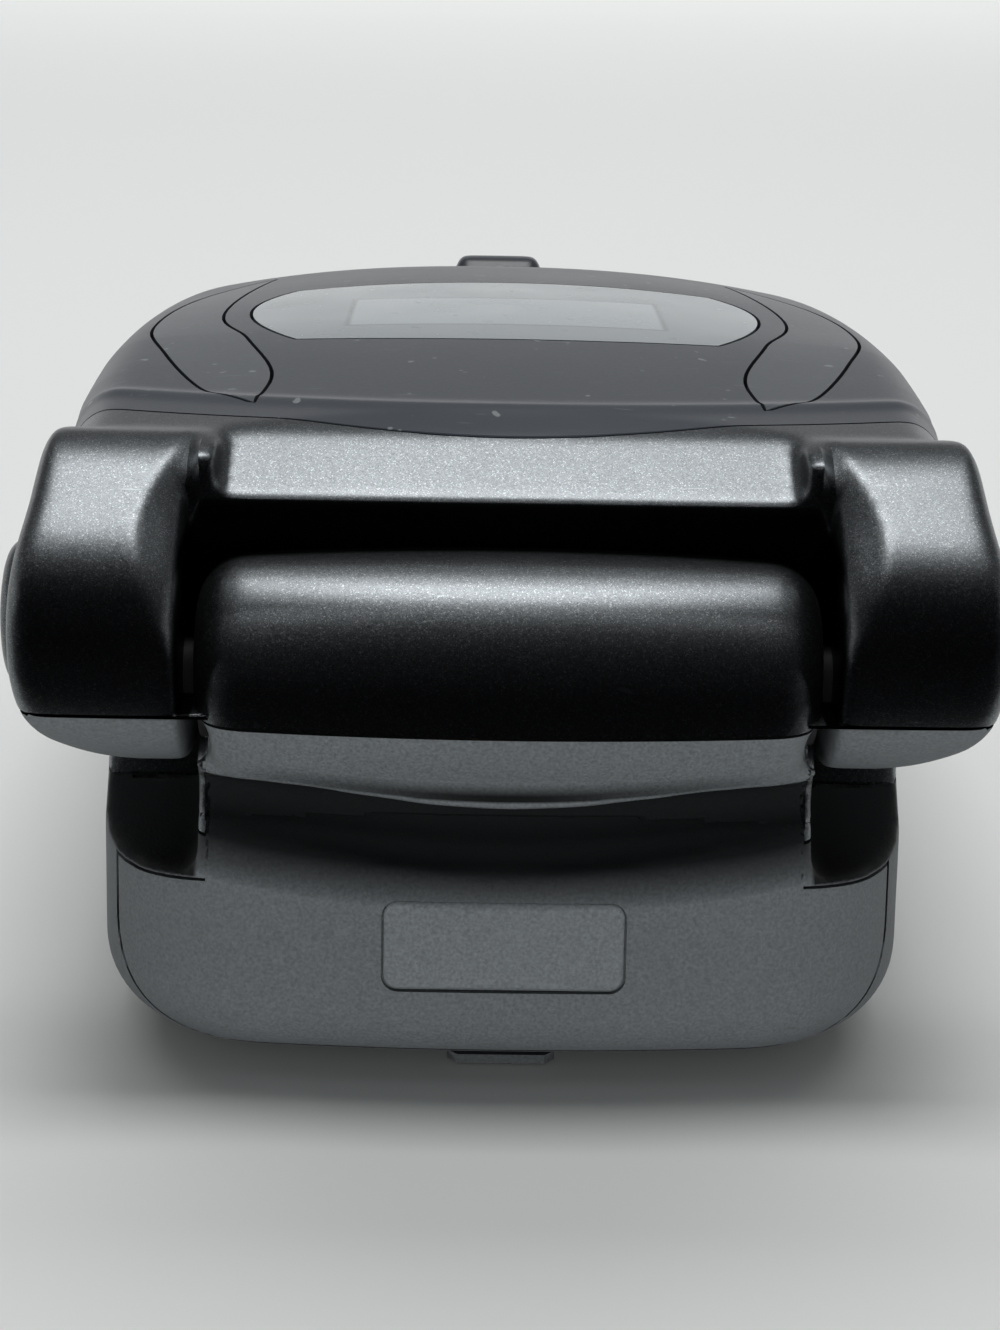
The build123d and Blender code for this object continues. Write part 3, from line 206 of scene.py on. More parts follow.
class Look(Nodes):
    """A material under construction."""

    def __init__(self, name, roughness=0.5, metallic=0.0, **fixed):
        self.material = bpy.data.materials.new(name)
        self.material.use_nodes = True
        super().__init__(self.material.node_tree)
        self.shader = next(n for n in self.tree.nodes if n.type == "BSDF_PRINCIPLED")
        self.set("Roughness", roughness)
        self.set("Metallic", metallic)
        for socket, value in fixed.items():
            self.set(socket.replace("_", " "), value)
        self.place = self.node("ShaderNodeTexCoord", {}, output="Object")

    def set(self, socket, value):
        self.fill(self.shader.inputs[socket], value)

    def noise(self, size, detail=2.0, roughness=0.5, place=None):
        """Noise from 0 to 1 whose features are about this size, in metres."""
        return self.node("ShaderNodeTexNoise", {}, Vector=place or self.place, Scale=1 / size,
                         Detail=detail, Roughness=roughness)

    def cells(self, size, place=None):
        """Random value of each cell of about this size."""
        return self.node("ShaderNodeTexVoronoi", {}, Vector=place or self.place, Scale=1 / size,
                         output="Color")

    def bump(self, height, depth, strength=1.0):
        relief = self.node("ShaderNodeBump", {}, Height=height, Distance=depth, Strength=strength)
        self.set("Normal", relief)

    def scratches(self, size, amount, place=None):
        """Mask of a few short thin scratches."""
        stretched = self.node("ShaderNodeMapping", {}, Vector=place or self.place,
                              Rotation=(0.0, 0.0, 0.6), Scale=(1.0, 14.0, 1.0))
        return self.noise(size, 1.0, 0.5, stretched).above(1 - amount, 0.02)


def shade(value, colour_value):
    return tuple(value * c for c in colour_value)


# ---- finishes ----------------------------------------------------------------------------------
def paint_finish(colours, sizes):
    """Satin metallic paint: dark base, fine mica, faint scuffs, and painted shade in the gaps beside the
    barrel.
    """
    look = Look("satin_paint", roughness=0.36, metallic=1.0)
    flake = look.part("X", look.cells(sizes.mica_grain))
    grain = look.noise(3.2 * sizes.mica_grain, 2.0, 0.7)
    cloud = look.noise(9 * MM, 3.0)
    base = look.mix(shade(0.42, colours.paint), shade(1.70, colours.paint), 0.5 * flake + 0.5 * grain)
    base = look.mix(base, colours.mica, flake.above(0.92, 0.05) * 0.30)
    scuff = look.scratches(2.2 * MM, 0.24)
    base = look.mix(base, colours.mica, scuff * 0.15)
    # painted shade: the paint goes nearly black in the gaps beside the barrel, standing in for their
    # shadow
    look.set("Base Color", look.mix(base, shade(0.03, colours.paint), painted_gap_shade(look)))
    look.set("Roughness", 0.31 + 0.06 * cloud + 0.05 * flake)
    look.bump(grain + 0.5 * flake, 0.0035 * MM)
    return look.material


def moulding_finish(colours, sizes, name="textured_grey", value=1.0):
    """Spark-eroded moulding: matt with a fine even grain, and painted shade in the fold under the barrel
    and the hollows behind the knuckles.
    """
    look = Look(name, roughness=0.62, Specular_IOR_Level=0.3)
    grain = look.noise(sizes.spark_grain, 3.0, 0.6)
    cloud = look.noise(7 * MM, 3.0)
    base = look.mix(shade(0.72 * value, colours.moulding), shade(1.30 * value, colours.moulding),
                    grain.above(0.30, 0.40))
    base = look.mix(base, shade(1.12 * value, colours.moulding), cloud * 0.35)
    # painted shade: the moulding drops to 5 % of its colour in the fold under the barrel, just above the
    # lip and in the hollows behind the knuckles
    look.set("Base Color", look.mix(base, shade(0.05, colours.moulding), painted_fold_and_hollow_shade(look) * 0.97))
    look.set("Roughness", 0.52 + 0.22 * grain)
    look.bump(grain, 0.035 * MM, 0.8)
    return look.material


def from_hinge(look):
    """Distance from the hinge's axis."""
    return ((look.part("Y") - HINGE.y) ** 2.0 + (look.part("Z") - HINGE.z) ** 2.0) ** 0.5


def painted_gap_shade(look):
    """Mask of the painted shade in the deep gaps between the barrel's ends and the knuckles."""
    x = look.part("X").absolute()
    gap = x.above(BARREL_HALF - 0.1 * MM, 0.1 * MM) * (1 - x.above(HORN_X + 0.05 * MM, 0.1 * MM))
    return gap * (1 - from_hinge(look).above(GAP_SHADE_R, 0.6 * MM))


def painted_fold_and_hollow_shade(look):
    """Mask of painted shade: the black fold under the barrel, a thin band just above the lip, and the
    hollows behind the knuckles.
    """
    x, y, z = look.part("X").absolute(), look.part("Y"), look.part("Z")
    share = x * (1 / BARREL_HALF)
    rise = FOLD_SHADE_RISE * share * share
    fold = (z - rise).above(FOLD_SHADE_LOW, FOLD_SHADE_FADE) ** 0.6
    fold = fold * (1 - (z - rise).above(FOLD_SHADE_TOP, 0.25 * MM)) * (1 - x.above(BARREL_HALF, 0.3 * MM))
    roll = (z - rise).above(ROLL_SHADE_LOW, 0.12 * MM) * (1 - (z - rise).above(ROLL_SHADE_TOP, 0.7 * MM))
    roll = roll * (1 - (share * share * 1.3).clamped()) * (1 - y.above(HINGE.y + 2 * MM, MM))
    reach = from_hinge(look)
    hollow = x.above(BARREL_HALF, 0.2 * MM) * (1 - reach.above(HOLLOW_SHADE_R, 0.15 * MM))
    hollow = hollow * reach.above(HOLLOW_SHADE_R - HOLLOW_SHADE_DEEP, 0.2 * MM)
    hollow = hollow * (1 - y.above(HINGE.y + HOLLOW_SHADE_BACK, MM))
    return (fold + roll + hollow).clamped()


def cover_finish(colours, sizes, name, base_colour):
    """Matt soft paint of the lid's cover, lighter and smoother where hands rub it."""
    look = Look(name, roughness=0.45)
    cloud = look.noise(11 * MM, 4.0)
    fine = look.noise(0.22 * MM, 2.0)
    speck = look.noise(0.9 * MM, 1.0).above(0.74, 0.03)
    base = look.mix(shade(0.85, base_colour), shade(1.2, base_colour), cloud)
    scuff = look.scratches(3.1 * MM, 0.27)
    base = look.mix(base, colours.mica, scuff * 0.10)
    look.set("Base Color", look.mix(base, colours.mica, speck * 0.20))
    look.set("Roughness", 0.30 + 0.10 * cloud + 0.06 * fine)
    look.bump(fine, 0.006 * MM)
    return look.material


def window_finish(colours, sizes):
    """Smoked glossy window with a printed border round the small display."""
    look = Look("tinted_window", roughness=0.2)
    low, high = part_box("sub_display")
    middle = (low + high) / 2
    half = (high - low) / 2
    x = (look.part("X") - middle.x).absolute()
    y = (look.part("Y") - middle.y).absolute()
    soft = 0.2 * MM
    outside = (x.above(half.x, soft) + y.above(half.y, soft)).clamped()
    bezel = (x.above(half.x + 0.3 * MM, soft) + y.above(half.y + 0.3 * MM, soft)).clamped()
    dust = look.noise(1.1 * MM, 2.0).above(0.70, 0.05)
    smear = look.noise(6 * MM, 3.0)
    face = look.mix(shade(1.25, colours.window), shade(0.72, colours.window), outside)
    face = look.mix(face, shade(0.95, colours.window), bezel)
    look.set("Base Color", look.mix(face, shade(1.5, colours.window), dust * 0.10))
    look.set("Roughness", 0.20 + 0.12 * smear + 0.12 * dust)
    look.bump(smear, 0.006 * MM, 0.3)
    return look.material


def plain_finish(name, base, roughness, metallic=0.0, grain=0.3 * MM, depth=0.01 * MM, vary=0.12):
    """A small part's finish: its colour, a little cloudiness and a fine grain."""
    look = Look(name, metallic=metallic)
    cloud = look.noise(3 * MM, 2.0)
    fine = look.noise(grain, 2.0)
    look.set("Base Color", look.mix(shade(1 - vary, base), shade(1 + vary, base), cloud))
    look.set("Roughness", roughness - 0.05 + 0.1 * fine)
    look.bump(fine, depth)
    return look.material


def board_finish():
    """Green solder resist with copper tracks under it."""
    look = Look("circuit_board", roughness=0.35)
    tracks = look.node("ShaderNodeTexBrick", {"offset": 0.35, "squash": 1.0}, Vector=look.place,
                       Scale=1 / (9 * MM), output="Fac")
    cloud = look.noise(2 * MM, 2.0)
    base = look.mix((0.012, 0.09, 0.045), (0.02, 0.15, 0.07), cloud)
    look.set("Base Color", look.mix(base, (0.05, 0.24, 0.10), tracks))
    look.bump(tracks, 0.03 * MM)
    return look.material


def finishes(colours, sizes):
    """Every material by its slot name."""
    made = {
        "satin_paint": paint_finish(colours, sizes),
        "textured_grey": moulding_finish(colours, sizes),
        "badge_grey": moulding_finish(colours, sizes, "badge_grey", 1.25),
        # the latch's moulding at half value: its own grey darkened further as painted shade for the
        # contact shadow it sits in
        "latch_plastic": moulding_finish(colours, sizes, "latch_plastic", 0.5),
        "cover_matte": cover_finish(colours, sizes, "cover_matte", colours.cover),
        "panel_matte": cover_finish(colours, sizes, "panel_matte", colours.crescent),
        "tinted_window": window_finish(colours, sizes),
        "clear_lens": plain_finish("clear_lens", (0.012, 0.013, 0.016), 0.07, depth=0.0),
        "display_glass": plain_finish("display_glass", (0.16, 0.19, 0.18), 0.12, depth=0.0),
        "white_plastic": plain_finish("white_plastic", (0.72, 0.72, 0.69), 0.5),
        "circuit_board": board_finish(),
        "rubber_mat": plain_finish("rubber_mat", (0.48, 0.52, 0.55), 0.6),
        "rubber_black": plain_finish("rubber_black", (0.015, 0.015, 0.016), 0.75),
        "spring_steel": plain_finish("spring_steel", (0.62, 0.62, 0.60), 0.28, 1.0),
        "tinned_steel": plain_finish("tinned_steel", (0.66, 0.66, 0.65), 0.35, 1.0),
        "screw_steel": plain_finish("screw_steel", (0.30, 0.30, 0.31), 0.32, 1.0),
        "black_plastic": plain_finish("black_plastic", (0.015, 0.016, 0.018), 0.5),
        "gold_contact": plain_finish("gold_contact", (0.83, 0.60, 0.24), 0.25, 1.0),
        "hinge_steel": plain_finish("hinge_steel", (0.014, 0.014, 0.015), 0.6, 0.3),
        "hinge_acetal": plain_finish("hinge_acetal", (0.012, 0.012, 0.013), 0.4),
        "flex_film": plain_finish("flex_film", (0.55, 0.26, 0.05), 0.3),
        "key_plastic": plain_finish("key_plastic", tuple(colours.key), 0.3, 0.35),
        "nav_plastic": plain_finish("nav_plastic", (0.24, 0.26, 0.28), 0.28, 0.5),
    }
    return made


MATERIALS = {}


def material_of(node):
    slots = {s["node"]: s["material_slot"] for s in frame["record"]["subparts"]}
    return MATERIALS[slots[node]]


# ---- mesh helpers --------------------------------------------------------------------------------
def select_only(*objects):
    """Selects these objects, with the last one active."""
    if bpy.context.mode != "OBJECT":
        bpy.ops.object.mode_set(mode="OBJECT")
    bpy.ops.object.select_all(action="DESELECT")
    for o in objects:
        o.hide_set(False)
        o.select_set(True)
        bpy.context.view_layer.objects.active = o
    return objects[-1]


def select_nothing():
    if bpy.context.mode != "OBJECT":
        bpy.ops.object.mode_set(mode="OBJECT")
    bpy.ops.object.select_all(action="DESELECT")


def take_material(obj, material):
    obj.data.materials.clear()
    obj.data.materials.append(material)
    return obj


def body_name(node):
    return frame["nodes"][node]["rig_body"]


def merged_copy(node, name):
    """A copy of a frame piece with its loose triangles joined into one skin."""
    obj = frame["nodes"][node].copy()
    obj.data = obj.data.copy()
    obj.name = obj.data.name = name
    for key in list(obj.keys()):
        del obj[key]
    obj.parent = None
    bpy.context.scene.collection.objects.link(obj)
    select_only(obj)
    bpy.ops.object.mode_set(mode="EDIT")
    bpy.ops.mesh.select_all(action="SELECT")
    bpy.ops.mesh.remove_doubles(threshold=0.002 * MM)
    bpy.ops.object.mode_set(mode="OBJECT")
    return obj


def smooth_by_angle(obj, degrees=30.0):
    select_only(obj)
    bpy.ops.object.shade_smooth_by_angle(angle=math.radians(degrees))
    return obj


def joined(name, *objects):
    """One object out of several."""
    select_only(*objects)
    bpy.ops.object.join()
    made = bpy.context.object
    made.name = made.data.name = name
    return made


def copy_of(obj, name):
    made = obj.copy()
    made.data = obj.data.copy()
    made.name = made.data.name = name
    bpy.context.scene.collection.objects.link(made)
    return made


def drop(*objects):
    for o in objects:
        bpy.data.objects.remove(o, do_unlink=True)


def modified(obj, kind, **settings):
    """Adds a modifier to a piece and applies it."""
    select_only(obj)
    made = obj.modifiers.new(kind.lower(), kind)
    for key, value in settings.items():
        setattr(made, key, value)
    bpy.ops.object.modifier_apply(modifier=made.name)
    return obj


def softened(obj, voxel, passes):
    """Gives a closed form one even skin and rounds its edges."""
    modified(obj, "REMESH", mode="VOXEL", voxel_size=voxel, use_smooth_shade=True)
    return modified(obj, "SMOOTH", factor=0.5, iterations=passes)


def cut(obj, tool, operation="DIFFERENCE", keep_tool=False):
    modified(obj, "BOOLEAN", operation=operation, solver="MANIFOLD", object=tool)
    if not keep_tool:
        drop(tool)
    return obj


def halved(obj, point, normal):
    """Keeps what lies behind a plane and closes the cut."""
    select_only(obj)
    bpy.ops.object.mode_set(mode="EDIT")
    bpy.ops.mesh.select_all(action="SELECT")
    bpy.ops.mesh.bisect(plane_co=point, plane_no=normal, use_fill=True, clear_outer=True)
    bpy.ops.object.mode_set(mode="OBJECT")
    return obj


def applied_place(obj):
    select_only(obj)
    bpy.ops.object.transform_apply(location=True, rotation=True, scale=True)
    return obj


def block(name, low, high, bevel=0.0, segments=4):
    """A box between two corners, with rounded edges where asked."""
    low, high = Vector(low), Vector(high)
    select_nothing()
    bpy.ops.mesh.primitive_cube_add(size=1, location=(low + high) / 2, scale=high - low)
    made = bpy.context.object
    made.name = made.data.name = name
    applied_place(made)
    if bevel:
        modified(made, "BEVEL", width=bevel, segments=segments, limit_method="NONE")
    return made


def roller(name, x0, x1, y, z, radius, bevel=0.0, vertices=128):
    """A cylinder along X with rounded rims."""
    select_nothing()
    bpy.ops.mesh.primitive_cylinder_add(
        vertices=vertices, radius=radius, depth=abs(x1 - x0), location=((x0 + x1) / 2, y, z),
        rotation=(0, math.pi / 2, 0))
    made = bpy.context.object
    made.name = made.data.name = name
    applied_place(made)
    if bevel:
        modified(made, "BEVEL", width=bevel, segments=8, limit_method="ANGLE",
                 angle_limit=math.radians(60))
    return made


def prism(name, outline, low, high, axis="Z"):
    """An outline given in the plane across the axis, drawn out between two heights."""
    select_nothing()
    bpy.ops.mesh.primitive_circle_add(vertices=len(outline), fill_type="NGON")
    made = bpy.context.object
    made.name = made.data.name = name
    for vertex, (u, v) in zip(made.data.vertices, outline):
        vertex.co = {"X": (low, u, v), "Y": (u, low, v), "Z": (u, v, low)}[axis]
    step = {"X": (high - low, 0, 0), "Y": (0, high - low, 0), "Z": (0, 0, high - low)}[axis]
    bpy.ops.object.mode_set(mode="EDIT")
    bpy.ops.mesh.select_all(action="SELECT")
    bpy.ops.mesh.extrude_region_move(TRANSFORM_OT_translate={"value": step})
    bpy.ops.mesh.select_all(action="SELECT")
    bpy.ops.mesh.normals_make_consistent(inside=False)
    bpy.ops.object.mode_set(mode="OBJECT")
    return made


def mirrored(obj, name):
    """A mirror image across the middle of the phone, with its own mesh."""
    made = copy_of(obj, name)
    for vertex in made.data.vertices:
        vertex.co.x = -vertex.co.x
    made.data.flip_normals()
    return made


def both_sides(obj):
    return joined(obj.name, obj, mirrored(obj, obj.name + "_mirror"))


def stand_for(obj, *nodes):
    """obj replaces frame pieces: it takes their finish and their body."""
    if not obj.data.materials:
        take_material(obj, material_of(nodes[0]))
    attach(obj, body_name(nodes[0]))
    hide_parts(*nodes)
    return obj


def dressed(obj, node, degrees=35.0):
    """Gives a piece its finish and its shading, and lets it stand for a frame piece."""
    take_material(obj, material_of(node))
    smooth_by_angle(obj, degrees)
    return stand_for(obj, node)


def crisp_piece(node):
    """A frame piece with a joined, smooth-shaded skin."""
    return dressed(merged_copy(node, node + "_skin"), node, 30.0)


# ---- outlines ----------------------------------------------------------------------------------
def arc(start, middle, end, steps=48):
    """Points on the arc through three points, without its last one."""
    a, b, c = Vector(start), Vector(middle), Vector(end)
    ab, ac = b - a, c - a
    cross = 2 * (ab.x * ac.y - ab.y * ac.x)
    centre = a + Vector((ac.y * ab.length_squared - ab.y * ac.length_squared,
                         ab.x * ac.length_squared - ac.x * ab.length_squared)) / cross
    first = a - centre
    turn = math.atan2(*reversed(c - centre)) - math.atan2(*reversed(first))
    if (turn > 0) != (cross > 0):
        turn += math.tau if cross > 0 else -math.tau
    points = []
    for i in range(steps):
        angle = turn * i / steps
        spot = Vector((first.x * math.cos(angle) - first.y * math.sin(angle),
                       first.x * math.sin(angle) + first.y * math.cos(angle)))
        points.append(tuple(centre + spot))
    return points


def flowing(points, steps=16):
    """A smooth line through points, without its last one."""
    line = [Vector(p) for p in points]
    ends = [2 * line[0] - line[1], *line, 2 * line[-1] - line[-2]]
    made = []
    for before, here, ahead, after in zip(ends, ends[1:], ends[2:], ends[3:]):
        for i in range(steps):
            t = i / steps
            spot = (here * 2 + (ahead - before) * t
                    + (before * 2 - here * 5 + ahead * 4 - after) * t ** 2
                    + (here * 3 - before - ahead * 3 + after) * t ** 3) / 2
            made.append(tuple(spot))
    return made


def rounded_box_outline(low, high, radius, steps=10):
    """Rectangle between two corners with round corners."""
    (x0, z0), (x1, z1) = low, high
    corners = ((x1 - radius, z0 + radius, -90), (x1 - radius, z1 - radius, 0),
               (x0 + radius, z1 - radius, 90), (x0 + radius, z0 + radius, 180))
    points = []
    for x, z, turn in corners:
        for i in range(steps + 1):
            angle = math.radians(turn + 90 * i / steps)
            points.append((x + radius * math.cos(angle), z + radius * math.sin(angle)))
    return points


def grown(outline, gap):
    """An outline moved outwards by a gap."""
    count = len(outline)
    area = sum(outline[i - 1][0] * outline[i][1] - outline[i][0] * outline[i - 1][1]
               for i in range(count))
    side = 1 if area > 0 else -1
    points = []
    for i, spot in enumerate(outline):
        along = (Vector(outline[(i + 1) % count]) - Vector(outline[i - 1])).normalized()
        points.append(tuple(Vector(spot) + side * gap * Vector((along.y, -along.x))))
    return points


# ---- lid ---------------------------------------------------------------------------------------
LID_NODES = ("lid_housing", "lid_cover", "lid_inner", "outer_window", "crescent_left", "crescent_right")
FORM_VOXEL = 0.3 * MM
FORM_PASSES = 16
KNUCKLE_BACK = 2.8 * MM
KNUCKLE_UP = 2.6 * MM
KNUCKLE_R = 8.0 * MM
KNUCKLE_ROUND = 1.2 * MM
KNUCKLE_FROM = 14.3 * MM
DRAW_FROM = 18.5 * MM
DRAW_ALL = 0.10  # millimetres, as the two below
DRAW_ABOVE = 0.95
DRAW_BELOW = 1.7
FLAT_START = 85.0  # degrees round the knuckle's middle where its flatter brow starts
FLAT_SPAN = 80.0
FLAT_DEPTH = 0.8 * MM
HORN_X = 14.9 * MM  # the knuckle's inner face
HORN_WIDE = 1.9 * MM
HORN_START = 78.0  # degrees
HORN_SPAN = 125.0
HORN_SLOPE = 0.55
FRONT_Y = HINGE.y - 5.85 * MM
LID_HALF = node_high("lid_inner").x
COVER_SEAM_Y = node_low("lid_cover").y
COVER_SEAM_BOW = 7.5 * MM
CREASE_BACK = 3.0 * MM
CREASE_WIDE = 0.7 * MM
CREASE_HIGH = 0.16 * MM
COVER_EDGE = Vector((0, FRONT_Y + 29.0 * MM, HINGE.z + 7.2 * MM))
COVER_TILT = math.radians(4.5)
HINGE_END_Y = -27.0 * MM


def cover_outline(gap=0.0):
    """Plan of the cover in front: its bowed seam, and past the lid's other edges."""
    side_y = COVER_SEAM_Y + COVER_SEAM_BOW - gap
    far = 80 * MM
    seam = arc((-LID_HALF, side_y), (0, COVER_SEAM_Y - gap), (LID_HALF, side_y), 64)
    return [*seam, (LID_HALF, side_y), (far, side_y), (far, far), (-far, far), (-far, side_y)]


def cover_zone(gap=0.0):
    """Space behind the cover's bowed seam and above its tilted edge."""
    zone = prism("cover_zone", cover_outline(gap), 0.0, 60 * MM)
    for vertex in zone.data.vertices:
        if vertex.co.z < MM:
            vertex.co.z = COVER_EDGE.z - gap - math.tan(COVER_TILT) * (vertex.co.y - COVER_EDGE.y)
    return zone


def lid_form():
    """The whole lid as one closed skin with soft edges."""
    pieces = [merged_copy(node, node + "_form") for node in LID_NODES]
    y, z = HINGE.y + KNUCKLE_BACK, HINGE.z + KNUCKLE_UP
    outer = node_high("lid_housing").x - 0.15 * MM
    pieces.append(both_sides(roller("knuckle_fill", 15.2 * MM, outer, y, z, KNUCKLE_R, KNUCKLE_ROUND)))
    pieces.append(both_sides(shoulder_wedge()))
    form = joined("lid_form", *pieces)
    softened(form, FORM_VOXEL, FORM_PASSES)
    for vertex in form.data.vertices:
        vertex.co.z += crease_rise(vertex.co) - shoulder_fall(vertex.co)
        shape_knuckle(vertex.co)
    bores = both_sides(roller("cap_bores", node_high("lid_housing").x - 1.0 * MM, 30 * MM,
                              *cap_centre(), 3.75 * MM))
    return cut(form, bores)


def shape_knuckle(spot):
    """Draws the knuckle's outer end in above and below its middle, and lifts its underside a little."""
    out = (abs(spot.x) - DRAW_FROM) / (LID_HALF - DRAW_FROM)
    front = min(max((-20 * MM - spot.y) / (8 * MM), 0.0), 1.0)
    if out > 0:
        above = min(max((spot.z - 22 * MM) / (7.5 * MM), 0.0), 1.0)
        below = min(max((20.5 * MM - spot.z) / (6 * MM), 0.0), 1.0)
        draw = (DRAW_ALL + DRAW_ABOVE * above ** 1.5 + DRAW_BELOW * below ** 1.8) * MM * front * out ** 2
        spot.x -= math.copysign(draw, spot.x)
    if abs(spot.x) < KNUCKLE_FROM:
        return
    inside = min((abs(spot.x) - KNUCKLE_FROM) / (0.4 * MM), 1.0)
    low = max((19 * MM - spot.z) / (5 * MM), 0.0) ** 2
    spot.z += (0.45 + 1.1 * max(out + 0.35, 0.0) ** 2) * MM * front * low * inside
    middle = Vector((spot.x, HINGE.y + KNUCKLE_BACK, HINGE.z + KNUCKLE_UP))
    arm = spot - middle
    if arm.length < 5 * MM:
        return
    turn = math.degrees(math.atan2(arm.z, arm.y)) % 360
    brow = (turn - FLAT_START) / FLAT_SPAN
    sunk = FLAT_DEPTH * math.sin(math.pi * brow) ** 2 if 0 < brow < 1 else 0.0
    wide = horn_width(turn)
    sunk += HORN_SLOPE * min(max(HORN_X + wide - abs(spot.x), 0.0), wide)
    spot -= arm.normalized() * sunk * inside


def horn_width(turn):
    """Width of the facet on the knuckle's inner rim, by the angle round the knuckle."""
    share = (turn - HORN_START) / HORN_SPAN
    return HORN_WIDE * math.sin(math.pi * share) ** 2 if 0 < share < 1 else 0.0


def lid_shells():
    """Parts the lid's form into its housing, tray, cover, window and side panels."""
    form = lid_form()
    cover = cut(copy_of(form, "lid_cover_skin"), cover_zone(), "INTERSECT")
    housing = cut(form, cover_zone(0.2 * MM))
    housing.name = "lid_housing_skin"
    tray_end = copy_of(housing, "lid_tray_end")
    halved(housing, (0, 0, LID_SPLIT_Z), (0, 0, -1))
    halved(tray_end, (0, 0, LID_SPLIT_Z - 0.2 * MM), (0, 0, 1))
    halved(tray_end, (0, HINGE_END_Y, 0), (0, 1, 0))
    tray = halved(merged_copy("lid_inner", "lid_tray"), (0, HINGE_END_Y, 0), (0, -1, 0))
    tray = joined("lid_inner_skin", tray, tray_end)
    side_panels = both_sides(prism("crescents", crescent_outline(), 20 * MM, 50 * MM))
    slots = both_sides(prism("crescent_slots", grown(crescent_outline(), 0.2 * MM), 20 * MM, 50 * MM))
    glass_room = prism("window_slot", grown(window_outline(), 0.2 * MM), 20 * MM, 50 * MM)
    glass_zone = prism("window_zone", window_outline(), 20 * MM, 50 * MM)
    glass = cut(copy_of(cover, "outer_window_skin"), glass_zone, "INTERSECT")
    leaves = cut(copy_of(cover, "crescents_skin"), side_panels, "INTERSECT")
    left = halved(copy_of(leaves, "crescent_left_skin"), (0, 0, 0), (1, 0, 0))
    right = halved(leaves, (0, 0, 0), (-1, 0, 0))
    right.name = "crescent_right_skin"
    cut(cover, slots)
    cut(cover, glass_room)
    for piece, node in ((housing, "lid_housing"), (tray, "lid_inner"), (cover, "lid_cover"),
                        (glass, "outer_window"), (left, "crescent_left"), (right, "crescent_right")):
        dressed(piece, node)


def window_outline():
    """Rounded window, widest behind its middle and a little narrower towards the hinge."""
    low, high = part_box("outer_window")
    half, near, far = high.x, low.y, high.y
    tip_y = FRONT_Y + 39.5 * MM
    near_half, far_half = half - 3.2 * MM, half - 2.0 * MM
    near_y, far_y = near + 0.7 * MM, far - 2.0 * MM
    return (arc((-near_half, near_y), (0, near), (near_half, near_y))
            + arc((near_half, near_y), (half, tip_y), (far_half, far_y))
            + arc((far_half, far_y), (0, far), (-far_half, far_y))
            + arc((-far_half, far_y), (-half, tip_y), (-near_half, near_y)))


CRESCENT_NEAR = (12.5 * MM, -28.6 * MM)
CRESCENT_FAR = (15.2 * MM, 18.4 * MM)
CRESCENT_INNER = ((12.2 * MM, -22.4 * MM), (14.2 * MM, -14.0 * MM), (16.4 * MM, -4.5 * MM))
CRESCENT_OUTER = ((19.0 * MM, 5.0 * MM), (19.9 * MM, -8.0 * MM), (18.2 * MM, -16.5 * MM),
                  (15.3 * MM, -25.2 * MM))


def crescent_outline():
    """Leaf-shaped side panel, on the +X side."""
    return (flowing([CRESCENT_NEAR, *CRESCENT_INNER, CRESCENT_FAR])
            + flowing([CRESCENT_FAR, *CRESCENT_OUTER, CRESCENT_NEAR]))


WEDGE_LOW = (15 * MM, -36 * MM, 22 * MM)
WEDGE_HIGH = (21.7 * MM, -10 * MM, 29.35 * MM)
WEDGE_FALL = 2.6 * MM
SHOULDER_FALL = 1.5 * MM


def cap_centre():
    low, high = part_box("side_cap_right")
    return (low.y + high.y) / 2, (low.z + high.z) / 2


def shoulder_wedge():
    """Fills the lid's rounded shoulder, so that its top runs on into the knuckle's."""
    wedge = block("shoulder_wedge", WEDGE_LOW, WEDGE_HIGH, 0.5 * MM)
    for vertex in wedge.data.vertices:
        back = (vertex.co.y + 36 * MM) / (26 * MM)
        if vertex.co.z > 26 * MM:
            vertex.co.z -= WEDGE_FALL * back ** 1.5
    return wedge


def crease_rise(spot):
    """Low ridge across the cover, running along behind its bowed seam."""
    behind = spot.y - COVER_SEAM_Y - COVER_SEAM_BOW * (spot.x / LID_HALF) ** 2 - CREASE_BACK
    if spot.z < LID_SPLIT_Z + 5 * MM or abs(behind) > 3 * CREASE_WIDE:
        return 0.0
    return CREASE_HIGH * math.exp(-(behind / CREASE_WIDE) ** 2)


def shoulder_fall(spot):
    """How far the lid's shoulders drop towards its free end."""
    back = min(max((spot.y + 12 * MM) / (40 * MM), 0.0), 1.0)
    out = min(abs(spot.x) / (22 * MM), 1.0)
    up = min(max((spot.z - 21 * MM) / (9 * MM), 0.0), 1.0)
    return SHOULDER_FALL * back * out ** 3 * up


# ---- base --------------------------------------------------------------------------------------
BASE_NODES = ("front_case", "rear_case", "end_panel")
BARREL_HALF = 14.4 * MM
# Places of the painted shade, down to the gap's radius: the fold under the barrel, the band just above
# the lip, the hollows behind the knuckles and the gaps beside the barrel
FOLD_SHADE_LOW = 8.9 * MM
FOLD_SHADE_RISE = 1.2 * MM
FOLD_SHADE_FADE = 1.9 * MM
FOLD_SHADE_TOP = 13.75 * MM
ROLL_SHADE_LOW = 14.4 * MM
ROLL_SHADE_TOP = 14.75 * MM
HOLLOW_SHADE_R = 9.7 * MM
HOLLOW_SHADE_DEEP = 0.8 * MM
HOLLOW_SHADE_BACK = 10 * MM
GAP_SHADE_R = 6.4 * MM
FOLD_BACKING = ((-14 * MM, -40 * MM, 9.5 * MM), (14 * MM, -35.2 * MM, 15.4 * MM))
